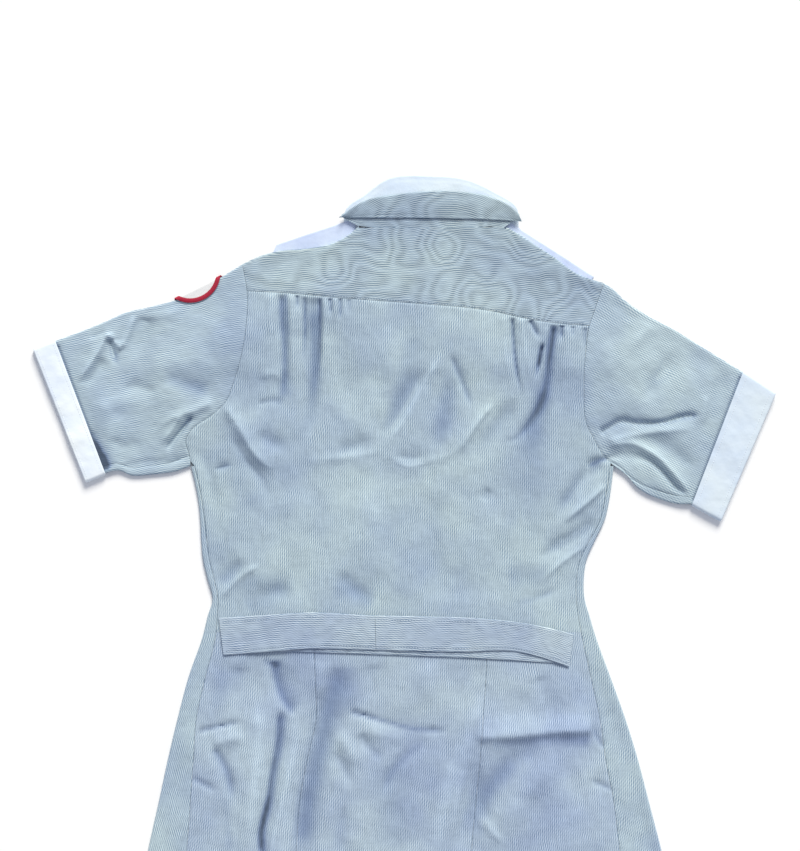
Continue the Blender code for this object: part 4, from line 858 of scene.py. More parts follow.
def twill(name, colour, dark, pitch, slanting=True):
    """Twill or overlocking of cotton thread: close ribs, slanting or square, darker between them."""
    made, tree, shader = new_material(name, 0.7, 0.05)
    grain = add(tree, "ShaderNodeUVMap", uv_map="cloth")
    parts = add(tree, "ShaderNodeSeparateXYZ", {"Vector": grain.outputs["UV"]})
    turns = add(tree, "ShaderNodeMath", {0: parts.outputs["X"], 1: 2 * pi / pitch}, operation="MULTIPLY")
    slant = add(tree, "ShaderNodeMath", {0: parts.outputs["Y"], 1: 2 * pi / pitch if slanting else 0.0,
                                         2: turns.outputs[0]}, operation="MULTIPLY_ADD")
    wave = add(tree, "ShaderNodeMath", {0: slant.outputs[0]}, operation="SINE")
    rib = add(tree, "ShaderNodeMapRange", {"Value": wave.outputs[0], "From Min": -1.0, "From Max": 0.4})
    tone = add(tree, "ShaderNodeMix", {"Factor": rib.outputs[0], "A": linear(dark), "B": linear(colour)},
               data_type="RGBA")
    tree.links.new(tone.outputs["Result"], shader.inputs["Base Color"])
    bump = add(tree, "ShaderNodeBump", {"Height": rib.outputs[0], "Strength": 0.5, "Distance": 0.0003})
    tree.links.new(bump.outputs[0], shader.inputs["Normal"])
    return made


def pressed_plastic(name, colour, tint):
    """Pressed urea plastic: milky white, gently polished, with faint clouding from the mould."""
    made, tree, shader = new_material(name, 0.3)
    shader.inputs["Specular IOR Level"].default_value = 0.5
    place = add(tree, "ShaderNodeTexCoord")
    clouds = add(tree, "ShaderNodeTexNoise", {"Vector": place.outputs["Object"], "Scale": 260.0,
                                              "Detail": 2.0})
    tone = add(tree, "ShaderNodeMix", {"Factor": clouds.outputs["Fac"], "A": linear(colour),
                                       "B": linear(tint)}, data_type="RGBA")
    tree.links.new(tone.outputs["Result"], shader.inputs["Base Color"])
    grain = add(tree, "ShaderNodeTexNoise", {"Vector": place.outputs["Object"], "Scale": 900.0,
                                             "Detail": 1.0})
    bump = add(tree, "ShaderNodeBump", {"Height": grain.outputs["Fac"], "Strength": 0.1,
                                        "Distance": 0.0001})
    tree.links.new(bump.outputs[0], shader.inputs["Normal"])
    return made


def cotton_thread(name, colour, dark):
    """Spun sewing cotton: matt, twisted, a little darker between its strands."""
    made, tree, shader = new_material(name, 0.8)
    place = add(tree, "ShaderNodeTexCoord")
    strands = add(tree, "ShaderNodeTexNoise", {"Vector": place.outputs["Object"], "Scale": 1500.0,
                                               "Detail": 1.0})
    tone = add(tree, "ShaderNodeMix", {"Factor": strands.outputs["Fac"], "A": linear(dark),
                                       "B": linear(colour)}, data_type="RGBA")
    tree.links.new(tone.outputs["Result"], shader.inputs["Base Color"])
    return made


# The cloth as it lies along the body: a quiet grey blue with short dashes and hardly any bands
STRIPED = pincord_cotton("pincord_cotton", "#7D97AA", "#D1E0E1", "#CBD0EE", 0.85, 0.5, 0.05)
# Cut across, on the yoke and the collar: smooth lines with strong bands like contour lines
YOKE_STRIPED = pincord_cotton("pincord_cotton_across", "#6F899C", "#CEDDDE", "#CBD0EE", 0.7, 0.12, 0.95)
# The back gores, washed a little bluer than the bodice
SKIRT_STRIPED = pincord_cotton("pincord_cotton_washed", "#7B94AA", "#CDDBE2", "#CBCFEE", 0.85, 0.5, 0.05)
# The half belt, doubled and pressed: crisp lines along it, paler, with faint bands
BELT_STRIPED = pincord_cotton("pincord_cotton_lengthwise", "#7089A0", "#D9E6E9", "#CBD0EE",
                              0.9, 0.35, 0.25)
# White on the collar and the right cuff, a copy with painted light on the left cuff, and a copy
# with painted shade on the straps
WHITE = plain_cotton("white_poplin", "#D8E4EC", "#CCDBED")
LIT_WHITE = plain_cotton("lit_white_poplin", "#EDF4F7", "#DFEAF8")
SHADED_WHITE = plain_cotton("shaded_white_poplin", "#D8E4F6", "#BFCDEC")
# Badge: a flat pale field of fine twill, and a thick red rim of close upright threads
BADGE_TWILL = twill("badge_twill", "#EFEFEE", "#D8DADC", 0.0011)
RED_THREAD = twill("red_overlock_thread", "#B3243E", "#8A1830", 0.0010, slanting=False)
BUTTON_PLASTIC = pressed_plastic("button_plastic", "#EFF0EF", "#DFE2E2")
BLUE_THREAD = cotton_thread("blue_sewing_thread", "#AEBDCB", "#8FA2B6")
WHITE_THREAD = cotton_thread("white_sewing_thread", "#F2F4F6", "#D3DAE2")


def surface(name, points, grain, finish, keep=None, facing_up=True, thickness=CLOTH, closed=False,
            depth=None):
    """A thin closed wall from a grid of outer points.

    Each outer point is moved in along the grid's normal, the cross product of its row and column
    directions, and the rims join the two grids. facing_up says which way the first point faces.
    grain holds the distance across and along the stripes, in millimetres. keep leaves cells out, and
    closed joins the last column to the first. depth is the painted light and shade of the folds, from
    -2 for a painted shadow in a slit to 1 for a painted highlight on a ridge, stored with the points
    for the finish. No point goes below the table.
    """
    if closed:
        points = np.concatenate([points, points[:, :1]], axis=1)
        grain = np.concatenate([grain, grain[:, :1] + [[[run_length(points[0])[-1], 0]]]], axis=1)
    rows, columns = points.shape[:2]
    keep = np.ones((rows - 1, columns - 1), bool) if keep is None else keep
    down, across = np.gradient(points, axis=0), np.gradient(points, axis=1)
    if closed:
        ends = (points[:, 1] - points[:, -2]) / 2
        across[:, 0], across[:, -1] = ends, ends
    normals = np.cross(down, across)
    normals /= np.maximum(np.linalg.norm(normals, axis=-1, keepdims=True), 1e-9)
    if (normals[0, 0, 2] > 0) != facing_up:
        normals = -normals
    outer, inner = points.reshape(-1, 3), (points - thickness * normals).reshape(-1, 3)
    i, j = np.nonzero(keep)
    corner = i * columns + j
    cells = np.stack([corner, corner + 1, corner + columns + 1, corner + columns], axis=1)
    facing = np.cross(outer[cells[:, 2]] - outer[cells[:, 0]], outer[cells[:, 3]] - outer[cells[:, 1]])
    if (facing * normals.reshape(-1, 3)[cells[:, 0]]).sum() < 0:
        cells = cells[:, ::-1]
    same = np.arange(rows * columns)
    if closed:
        same = same.reshape(rows, columns)
        same[:, -1] = same[:, 0]
        same = same.ravel()
    joined = same[cells]
    used, index = np.unique(joined, return_inverse=True)
    index = index.reshape(joined.shape)
    count = len(used)
    starts, ends = index.ravel(), np.roll(index, -1, axis=1).ravel()
    forward, backward = starts * count + ends, ends * count + starts
    rim = ~np.isin(forward, backward)
    rims = np.stack([ends[rim], starts[rim], starts[rim] + count, ends[rim] + count], axis=1)
    faces = np.concatenate([index, index[:, ::-1] + count, rims])
    flat_grain = grain.reshape(-1, 2) / 1000
    rim_grain = np.stack([np.roll(cells, -1, axis=1).ravel()[rim], cells.ravel()[rim]], axis=1)
    corners = np.concatenate([cells, cells[:, ::-1], rim_grain[:, [0, 1, 1, 0]]])
    placed = (np.concatenate([outer[used], inner[used]]) - [*BOX_MIDDLE, 0]) / 1000
    placed[:, 2] = np.maximum(placed[:, 2], 0.0)
    made = new_piece(name, placed, faces, finish)
    made.data.uv_layers.new(name="cloth").data.foreach_set("uv", flat_grain[corners.ravel()].ravel())
    # the painted light and shade of the folds, stored for the finish to read
    if depth is not None:
        stored = made.data.attributes.new("painted_fold_shading", "FLOAT", "POINT")
        stored.data.foreach_set("value", np.tile(depth.ravel()[used], 2).astype(np.float32))
    return made


def new_piece(name, places, faces, finish):
    """A shaded object from points in metres and faces, riding on the dress."""
    mesh = bpy.data.meshes.new(name)
    mesh.from_pydata(places.tolist(), [], faces.tolist())
    mesh.materials.append(finish)
    mesh.shade_smooth()
    mesh.set_sharp_from_angle(angle=1.0)
    made = bpy.data.objects.new(name, mesh)
    bpy.context.scene.collection.objects.link(made)
    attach(made, "root")
    return made


def laid(node):
    """Hides the solid that a laid sheet of cloth is drawn in place of."""
    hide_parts(node)


def cut_area(points, keep=None):
    """Area of a grid of points in square millimetres, over its kept cells."""
    a = points[1:, 1:] - points[:-1, :-1]
    b = points[1:, :-1] - points[:-1, 1:]
    cells = np.linalg.norm(np.cross(a, b), axis=-1) / 2
    return float((cells if keep is None else cells[keep]).sum())


def cut_size(points, keep=None):
    """Width and length of the rectangle that a cut comes from: its longest row by its longest column."""
    width = np.linalg.norm(np.diff(points, axis=1), axis=-1)
    length = np.linalg.norm(np.diff(points, axis=0), axis=-1)
    if keep is not None:
        width = width * (np.pad(keep, ((0, 1), (0, 0))) | np.pad(keep, ((1, 0), (0, 0))))
        length = length * (np.pad(keep, ((0, 0), (0, 1))) | np.pad(keep, ((0, 0), (1, 0))))
    return float(width.sum(axis=1).max()), float(length.sum(axis=0).max())


def panel(name, points, grain, finish=STRIPED, keep=None, facing_up=True,
          thickness=CLOTH, depth=None):
    """A cloth panel from its grid, which hides the solid of its name.

    A curved cut that fills little of its rectangle is given a narrower one that it fills by half.
    """
    made = surface(name, points, grain, finish, keep, facing_up, thickness, depth=depth)
    size, area = cut_size(points, keep), cut_area(points, keep)
    least_share, half_share = 0.31, 0.5
    if area < least_share * size[0] * size[1]:
        size = (size[0], area / half_share / size[0])
    laid(name)
    return made


def turned(plan, angle, origin=(0.0, 0.0)):
    """Distances across and along a stripe that runs at an angle, in degrees, to the plan's Y."""
    x, y = plan[..., 0] - origin[0], plan[..., 1] - origin[1]
    c, s = cos(radians(angle)), sin(radians(angle))
    return np.stack([c * x + s * y, c * y - s * x], axis=-1)


def stations(points, drop, lower_count):
    """Armhole points shared by yoke, back, front and sleeve, and how many of them lie on the yoke."""
    length = run_length(points)[-1]
    upper = np.array([FOLD_RADIUS, FORWARD_SEAM, (FORWARD_SEAM + drop) / 2, drop])
    between = [np.linspace(upper[k], upper[k + 1], 6)[:-1] for k in range(3)]
    near_seam = drop + np.array(FINE[:4])
    lower = np.linspace(drop + FINE[4], length - FOLD_RADIUS, lower_count)
    distances = np.concatenate([*between, near_seam, lower])
    return curve(points, distances / length)


# Rows of points on each armhole: down to the yoke seam, down to the forward shoulder seam, and below
YOKE_ROWS = 16
FORWARD_ROW = 5
LOWER_ARMHOLE = 66
STATIONS_LEFT = stations(ARMHOLE_LEFT, YOKE_DROP_LEFT, LOWER_ARMHOLE)
STATIONS_RIGHT = stations(ARMHOLE_RIGHT, YOKE_DROP_RIGHT, LOWER_ARMHOLE)
BODICE_LEVELS = UNDERARM_Y * (1 - shares(UNDERARM_Y, 2.5))
SKIRT_LEVELS = HEM_Y * shares(-HEM_Y, 2.9)


def inset_edge(points, distance):
    """A plan line moved aside by a distance, to its left as it runs."""
    points = np.asarray(points, float)
    along = unit(np.gradient(points, axis=0))
    return points + distance * np.stack([-along[:, 1], along[:, 0]], axis=1)


def yoke():
    """Back yoke from the yoke seam to the neck, rolled over each shoulder to the seam on the front."""
    side, neck_count = 34, 48
    left = inset_edge(curve(SHOULDER_LEFT, np.linspace(0, 1, side)), -FOLD_RADIUS)
    right = inset_edge(curve(SHOULDER_RIGHT, np.linspace(0, 1, side)), -FOLD_RADIUS)
    left[0], right[-1] = STATIONS_LEFT[0], STATIONS_RIGHT[0]
    neck = curve([left[-1], *BACK_NECK[1:-1], right[0]], np.linspace(0, 1, neck_count))
    top = np.concatenate([left, neck[1:-1], right])
    seam = curve(YOKE_SEAM, run_length(top) / run_length(top)[-1])
    seam[0], seam[-1] = STATIONS_LEFT[YOKE_ROWS - 1], STATIONS_RIGHT[YOKE_ROWS - 1]
    plan = blended(top, seam, STATIONS_LEFT[:YOKE_ROWS], STATIONS_RIGHT[:YOKE_ROWS])
    flat = at_height(plan, top_height(plan))
    inward = unit(plan[6] - plan[0])
    arc = fold_round(plan[0], inward, FOLD_RADIUS, rise(plan[0]), ARC[::-1]).transpose(1, 0, 2)
    forward = plan[0] + inward * (FORWARD_SEAM - FOLD_RADIUS)
    forward[0], forward[-1] = STATIONS_LEFT[FORWARD_ROW], STATIONS_RIGHT[FORWARD_ROW]
    steps = np.linspace(0, 1, 4)[:, None, None]
    wrap = forward + steps * (plan[0] - forward)
    points = np.concatenate([at_height(wrap, front_height(wrap)), arc, flat])
    keep = np.ones((len(points) - 1, len(top) - 1), bool)
    wrapped_rows = len(ARC) + 4
    keep[:wrapped_rows, side - 1:side - 1 + neck_count] = False
    grain = turned(points[..., :2], 90 + 5.0)
    grain[..., 0] += (np.arange(len(points)) < wrapped_rows)[:, None] * 1.0
    panel("yoke_back", eased(points, ("left", "right", "top", "bottom")), grain, YOKE_STRIPED, keep=keep,
          facing_up=False)
    return forward[:side], forward[-side:][::-1]


def back_bodice():
    """Back below the yoke, gathered into it on each side, to the waist."""
    def side(points, column):
        lower = np.stack([section_at(BODICE_LEVELS, column), BODICE_LEVELS], axis=1)
        return np.concatenate([points[YOKE_ROWS - 1:-1], lower])
    left, right = side(STATIONS_LEFT, "left_seam"), side(STATIONS_RIGHT, "right_seam")
    seam_length = 362
    across = shares(seam_length, 1.7)
    seam = curve(YOKE_SEAM, across)
    seam[0], seam[-1] = STATIONS_LEFT[YOKE_ROWS - 1], STATIONS_RIGHT[YOKE_ROWS - 1]
    waist = left[-1] + across[:, None] * (right[-1] - left[-1])
    plan = blended(seam, waist, left, right)
    points = at_height(plan, top_height(plan, gathered=True))
    points = eased(eased(points, ("left", "right", "top")), ("bottom",), WAIST_GAP)
    # the back bodice carries the painted light and shade of its folds
    panel("bodice_back", points, turned(plan, 0.6), depth=painted_fold_shading(plan, gathered=True))


def section_grid(levels, from_column, to_column, step=2.3):
    """Plan points on level rows between two columns of the section table."""
    first, last = section_at(levels, from_column), section_at(levels, to_column)
    share = shares(float(np.mean(last - first)), step)
    x = first[:, None] + share * (last - first)[:, None]
    return np.stack([x, np.broadcast_to(levels[:, None], x.shape)], axis=-1)


def back_skirt():
    """Three gores of the back skirt, from the waist to the hem."""
    for name, first, last, lean in (
        ("skirt_back_left", "left_seam", "left_gore", -5.4),
        ("skirt_back_centre", "left_gore", "right_gore", -1.8),
        ("skirt_back_right", "right_gore", "right_seam", 3.9),
    ):
        plan = section_grid(SKIRT_LEVELS, first, last)
        points = at_height(plan, top_height(plan))
        points = eased(eased(points, ("left", "right")), ("top",), WAIST_GAP)
        # each gore carries the painted light and shade of its folds
        panel(name, points, turned(plan, lean), SKIRT_STRIPED, depth=painted_fold_shading(plan))


def side_wrap(levels, side):
    """Columns of a front panel round the side fold: the strip on the back, then the half-round edge."""
    inward = np.array([1.0, 0.0]) if side == "left" else np.array([-1.0, 0.0])
    seam = np.stack([section_at(levels, side + "_seam"), levels], axis=1)
    inset = np.stack([section_at(levels, side), levels], axis=1) + inward * FOLD_RADIUS
    share = np.array([0, 0.04, 0.09, 0.16, 0.25, 0.36, 0.48, 0.6, 0.72, 0.84, 0.93, 1.0])[:, None]
    strip = seam[:, None] + share * (inset - seam)[:, None]
    arc = fold_round(inset, np.broadcast_to(inward, inset.shape), FOLD_RADIUS, rise(inset), ARC)
    return np.concatenate([at_height(strip, top_height(strip)), arc], axis=1), inset


def across_front(outer, edge):
    """Plan rows from the side to the front edge, with columns at set distances from that edge."""
    near = np.array([62.0, 56.0, 50.0, 45.0, 40.0, 35.0, 31.0, 27.0, 22.0, 17.0, 12.0, 8.0, 4.0, 1.5,
                     0.0])
    width = np.linalg.norm(edge - outer, axis=1)[:, None]
    far = np.linspace(0, 1, 20)[None, :-1] * (1 - near[0] / width)
    share = np.concatenate([far, 1 - near / width], axis=1)
    return outer[:, None] + share[..., None] * (edge - outer)[:, None]


def wrap_grain(points, lean):
    """Stripe distances on a wrapped panel: run length along each row, turned by a lean."""
    steps = np.linalg.norm(np.diff(points, axis=1), axis=-1)
    across = np.concatenate([np.zeros((len(points), 1)), np.cumsum(steps, axis=1)], axis=1)
    return turned(np.stack([across, points[..., 1]], axis=-1), lean)


def front_bodice(side, points, neckline, shoulder, over):
    """Front from the forward shoulder seam to the waist, rolled round the side to the side seam."""
    sign = 1 if side == "left" else -1
    wrap, inset = side_wrap(BODICE_LEVELS, side)
    outer = np.concatenate([points[FORWARD_ROW:-1], inset])
    neck_rows = 30
    neck = curve([shoulder[-1], *neckline[1:]], np.linspace(0, 1, neck_rows))
    below = np.linspace(neck[-1, 1], 0, len(outer) - neck_rows + 1)[1:]
    edge = np.concatenate([neck, np.stack([centre_front(below) + sign * OVERLAP, below], axis=1)])
    plan = across_front(outer, edge)
    reach = run_length(plan[0]) / run_length(plan[0])[-1]
    fade = np.clip(1 - np.arange(len(plan)) / neck_rows, 0, 1)[:, None, None]
    plan = plan + fade * (curve(shoulder, reach) - plan[0])
    flat = at_height(plan, front_height(plan, over))
    columns = wrap.shape[1]
    upper = len(outer) - len(inset)
    padding = np.repeat(flat[:upper, :1], columns, axis=1)
    made = np.concatenate([np.concatenate([padding, wrap]), flat], axis=1)
    keep = np.ones((len(made) - 1, made.shape[1] - 1), bool)
    keep[:upper, :columns] = False
    made[:upper, columns:] = eased(made[:upper, columns:], ("left",))
    made[upper:] = eased(made[upper:], ("left",))
    made[upper, :columns, 1] -= SEAM_GAP / 2
    made = eased(eased(made, ("bottom",), WAIST_GAP), ("top",), 2 * SEAM_GAP)
    # the unused corner beside the armhole is drawn out level, so that its first point has a normal
    spread = np.linspace(-columns, -1, columns)[None, :, None]
    made[:upper, :columns] += spread * np.array([0.01 * sign, 0, 0])
    panel(f"bodice_front_{side}", made, wrap_grain(made, 0.0), keep=keep, facing_up=False)


def front_skirt(side, over):
    """Front skirt from the waist to the hem, rolled round the side to the side seam."""
    sign = 1 if side == "left" else -1
    wrap, inset = side_wrap(SKIRT_LEVELS, side)
    edge = np.stack([centre_front(SKIRT_LEVELS) + sign * OVERLAP, SKIRT_LEVELS], axis=1)
    plan = across_front(inset, edge)
    points = np.concatenate([wrap, at_height(plan, front_height(plan, over))], axis=1)
    points = eased(eased(points, ("left",)), ("top",), WAIST_GAP)
    panel(f"skirt_front_{side}", points, wrap_grain(points, 14.0 * sign))


def flat_tube(plan, upper, lower, radius, low, seam_column):
    """Grid round a flattened tube: upper face, rounded edge, lower face, rounded edge, from its seam."""
    far = fold_round(plan[:, -1], unit(plan[:, -4] - plan[:, -1]), radius, low[:, -1], ARC)
    near = fold_round(plan[:, 0], unit(plan[:, 3] - plan[:, 0]), radius, low[:, 0], ARC[::-1])
    up, under = at_height(plan, upper), at_height(plan, lower)
    return np.concatenate([up[:, seam_column:], far, under[:, ::-1], near, up[:, :seam_column + 1]],
                          axis=1)


def sleeve(name, points, top, bottom, cuff, lean, seam_inset):
    """Short sleeve from the armhole seam to the cuff, and on inside it nearly to its outer edge."""
    clear = SOLID_WALL + SEAM_GAP + FOLD_RADIUS
    spread = run_length(points) / run_length(points)[-1]
    seam_column = int(np.argmin(np.abs(run_length(points)[-1] * (1 - spread) - seam_inset)))

    def across(first, last):
        first, last = np.asarray(first, float), np.asarray(last, float)
        along = unit(last - first)
        return first + along * clear + spread[:, None] * (last - first - 2 * along * clear)

    at_cuff = across(cuff.inner_top, cuff.inner_bottom)
    at_end = across(cuff.outer_top, cuff.outer_bottom)
    sign = 1 if points[0, 0] < 0 else -1
    rows = shares(run_length(top)[-1], 2.3)
    upper = curve([points[0], *inset_edge(top, sign * FOLD_RADIUS)[1:-1], at_cuff[0]], rows)
    lower = curve([points[-1], *inset_edge(bottom, -sign * FOLD_RADIUS)[1:-1], at_cuff[-1]], rows)
    inside = [at_cuff + share * (at_end - at_cuff) for share in (0.2, 0.4, 0.6, 0.85)]
    plan = np.concatenate([blended(points, at_cuff, upper, lower), inside])
    seam = plan[:, seam_column]
    pressed = 0.7 * np.exp(-((distance_to(plan, [seam]) / 1.2) ** 2)) * (1 - cuff_share(plan))
    height = top_height(plan) - pressed
    grid = flat_tube(plan, height, base(plan), FOLD_RADIUS, base(plan), seam_column)
    grain = turned(grid[..., :2], lean)
    # painted light and shade of the folds, on the sleeve's upper face only
    depth = painted_fold_shading(grid[..., :2]) * (grid[..., 2] > base(plan).max() + FOLD_RADIUS)
    panel(name, eased(grid, ("left", "right", "top")), grain, depth=depth)


CUFF_COUNT = 56
CUFF_START = 46


def cuff(name, corners, finish):
    """White band turned back over the sleeve end.

    Rings round the sleeve: from the free edge out to the fold, over it, and back inside the sleeve.
    Each ring is a flattened hoop, that starts CUFF_START points along its upper face.
    """
    outer_radius, inner_radius = FOLD_RADIUS + SOLID_WALL + SEAM_GAP, 1.25
    middle, turn = outer_radius, (outer_radius - inner_radius) / 2
    inner = np.array([corners.inner_top, corners.inner_bottom], float)
    outer = np.array([corners.outer_top, corners.outer_bottom], float)
    length = np.linalg.norm(outer - inner, axis=1).mean()
    way = [(0.0, outer_radius - 0.5), (0.012, outer_radius - 0.1), (0.03, outer_radius + 0.15)]
    way += [(share, outer_radius + 0.35 * sin(pi * share)) for share in np.linspace(0.07, 0.93, 14)]
    way += [(1 - turn / length + turn / length * sin(a), inner_radius + turn + turn * cos(a))
            for a in np.linspace(0, pi, 9)]
    way += [(share, inner_radius) for share in (0.8, 0.65, 0.5)]
    rows = []
    for share, radius in way:
        ends = inner + share * (outer - inner)
        along = unit(ends[1] - ends[0])
        line = np.linspace(ends[0] + along * outer_radius, ends[1] - along * outer_radius, CUFF_COUNT)
        x, y = line[:, 0], line[:, 1]
        swell = 0.5 * noise(x / 17 + 4, y / 17) + 0.22 * noise(x / 6, y / 6 + 3)
        number = np.arange(CUFF_COUNT)
        swell = swell * smooth(number / 6) * smooth((CUFF_COUNT - 1 - number) / 6)
        swell = swell * (radius > inner_radius + 0.1)
        low = np.array([middle - radius])
        far = fold_round(line[-1:], -along[None], radius, low, ARC)[0]
        near = fold_round(line[:1], along[None], radius, low, ARC[::-1])[0]
        up, under = at_height(line, middle + radius + swell), at_height(line, middle - radius)
        rows.append(np.concatenate([up[CUFF_START:], far, under[::-1], near, up[:CUFF_START]]))
    grid = np.maximum(np.array(rows), [-1e3, -1e3, 0.0])
    grain = np.stack(np.broadcast_arrays(run_length([r.mean(axis=0) for r in grid])[:, None],
                                         run_length(grid[0])[None]), axis=-1)
    made = surface(name, grid, grain, finish, closed=True, thickness=0.6)
    laid(name)
    return grid


def belt():
    """Half belt across the back waist in two lengths joined left of the middle, with its under layer.

    It lies on the back, and one layer higher where the under layer lies beneath it. Its edges are
    rounded off and pressed down along the stitching.
    """
    def over_under(x):
        return smooth((x + 172) / 24) * smooth((188 - x) / 20)

    def lift(p):
        return top_height(p) + BELT_LIFT + SOLID_WALL + over_under(p[..., 0]) * (SOLID_WALL + BELT_LIFT)

    length = run_length(BELT_TOP)[-1]
    across = np.linspace(0, 1, 140)
    split = int(round(BELT_SPLIT * (len(across) - 1)))
    upper, lower = curve(BELT_TOP, across), curve(BELT_BOTTOM, across)
    down = shares(BELT_DEPTH, 1.8, (0.0, 0.25, 0.7, 1.4, 2.4))[:, None, None]
    plan = upper + down * (lower - upper)
    height = lift(plan)
    edge = np.minimum(down[..., 0], 1 - down[..., 0]) * BELT_DEPTH
    rounding, stitch_line = 0.9, 2.4
    height = height - rounding * np.exp(-edge / 0.6) - 0.3 * np.exp(-(((edge - stitch_line) / 0.7) ** 2))
    x, y = plan[..., 0], plan[..., 1]
    height += 0.26 * noise(x / 5 + 2, y / 7) + 0.6 * noise(x / 23, y / 30)
    points = at_height(plan, height)
    grain = np.stack(np.broadcast_arrays(BELT_DEPTH * down[..., 0], length * across[None]), axis=-1)
    panel("belt_left", eased(points[:, :split + 1], ("right",)), grain[:, :split + 1], BELT_STRIPED)
    panel("belt_right", eased(points[:, split:], ("left",)), grain[:, split:], BELT_STRIPED)
    across = np.linspace(0, 1, 100)
    upper, lower = curve(UNDER_BELT_TOP, across), curve(UNDER_BELT_BOTTOM, across)
    plan = upper + down * (lower - upper)
    free = (1 - down[..., 0]) * BELT_DEPTH
    height = top_height(plan) + BELT_LIFT + SOLID_WALL - 0.6 * np.exp(-free / 0.6)
    grain = np.stack(np.broadcast_arrays(BELT_DEPTH * down[..., 0], UNDER_BELT_LENGTH * across[None]),
                     axis=-1)
    panel("belt_under", at_height(plan, height), grain, BELT_STRIPED)
    return points


def striped_collar():
    """Collar at the back neck: up from the neck seam, over a soft roll, down to its free edge.

    The stand is drawn in towards the neck's middle, and the fall spreads by 2.5 mm at each end.
    """
    neck = np.array([(-64, 432), *BACK_NECK, (126, 429)], float)
    where = np.linspace(0, 1, 110)
    left_end, width, neck_middle, fall, stitch_line = -62, 188.5, 31.5, 26, 3.0
    x = left_end + width * where
    fold_y, edge_y = (np.interp(x, *curve(line, where).T) for line in (COLLAR_FOLD, COLLAR_EDGE))
    neck_y = np.interp(x, *neck.T) - 0.9
    neck_z = top_height(np.stack([x, neck_y - 2], axis=1)) - SOLID_WALL / 2
    neck_z = np.maximum(neck_z, neck_z.max() - 0.9)
    outer = COLLAR_ROLL + SOLID_WALL / 2
    middle_y = fold_y - outer
    wave = 0.25 * noise(x / 14, x * 0 + 2) + 0.12 * noise(x / 5, x * 0 + 5)
    drawn_in = 0.82
    rows = [(x * (drawn_in + (1 - drawn_in) * share) + neck_middle * (1 - drawn_in) * (1 - share),
             neck_y + share * (middle_y - neck_y), neck_z - SOLID_WALL / 2)
            for share in np.linspace(0, 1, 7)]
    for angle in np.linspace(-pi / 2, pi / 2, 13)[1:]:
        rows.append((x, middle_y + outer * cos(angle),
                     neck_z + COLLAR_ROLL + outer * sin(angle) + wave * (angle > 0)))
    for share in shares(fall, 1.6, (0.0, 0.4, 1.0, 1.8, 3.0))[1:]:
        level = neck_z + COLLAR_ROLL + outer - 1.7 * share ** 2 + wave
        stitched = 0.35 * np.exp(-(((1 - share) * fall - stitch_line) / 0.7) ** 2)
        level = level - stitched - 0.5 * np.exp(-(1 - share) * fall / 0.5)
        rows.append((x + 2.5 * share * (2 * where - 1), middle_y + share * (edge_y - middle_y), level))
    points = np.array([np.stack(np.broadcast_arrays(*row), axis=1) for row in rows])
    along = np.broadcast_to(run_length(points[0])[None], points.shape[:2])
    across = np.array([run_length(points[:, k]) for k in range(points.shape[1])]).T
    panel("collar_striped", points, np.stack([across, along], axis=-1), YOKE_STRIPED, facing_up=False)


def white_collar():
    """White collar: points on the front, round the neck sides, standing beyond the back neck.

    Two plies: the outline swells by 0.5 mm inside a stitched edge.
    """
    table = np.array(WHITE_COLLAR, float)
    around = np.linspace(0, 1, 260)
    inner, outer = curve(table[:, [0, 1, 4]], around), curve(table[:, [2, 3, 5]], around)
    across = shares(WHITE_COLLAR_DEPTH, 2.0, (0.0, 0.4, 1.0, 1.9, 3.2))[:, None, None]
    upper = inner + across * (outer - inner)
    edge = np.minimum(across[..., 0], 1 - across[..., 0]) * WHITE_COLLAR_DEPTH
    x, y = upper[..., 0], upper[..., 1]
    free = smooth((y - 430) / 18)
    stitch_line = 3.2
    stitched = 0.35 * np.exp(-(((edge - stitch_line) / 0.8) ** 2))
    puff = free * (0.5 * noise(x / 15, y / 15) + 0.4 * smooth(edge / 5)) - stitched
    level, rounded = 0.85, 0.7 * np.exp(-edge / 0.5)
    upper[..., 2] = np.maximum(upper[..., 2], 0) + level + np.minimum(puff, 0.6) - rounded
    grain = np.stack(np.broadcast_arrays(WHITE_COLLAR_DEPTH * across[..., 0], run_length(inner)[None]),
                     axis=-1)
    made = surface("collar_white", upper, grain, WHITE, thickness=0.55)
    laid("collar_white")


def strap(name, corners):
    """Shoulder strap lying under the shoulder, its outer edge showing beyond it from the collar on."""
    a, b, c, d = np.asarray(corners, float)
    length = float(np.linalg.norm(b - a))
    fine = (0.0, 0.4, 1.0, 2.0)
    along = shares(length, 1.6, fine)[None, :, None]
    across = shares(STRAP_DEPTH, 1.6, fine)[:, None, None]
    plan = (1 - across) * (a + along * (b - a)) + across * (d + along * (c - d))
    edge = np.minimum(np.minimum(along, 1 - along)[..., 0] * length,
                      np.minimum(across, 1 - across)[..., 0] * STRAP_DEPTH)
    top, rounding, stitch_line = 1.45, 0.6, 2.6
    level = top - rounding * np.exp(-edge / 0.5) - 0.25 * np.exp(-(((edge - stitch_line) / 0.7) ** 2))
    grain = np.stack(np.broadcast_arrays(STRAP_DEPTH * across[..., 0], length * along[..., 0]), axis=-1)
    # the strap takes the copy of white with painted shade
    panel(name, at_height(plan, level), grain, SHADED_WHITE, thickness=0.55)


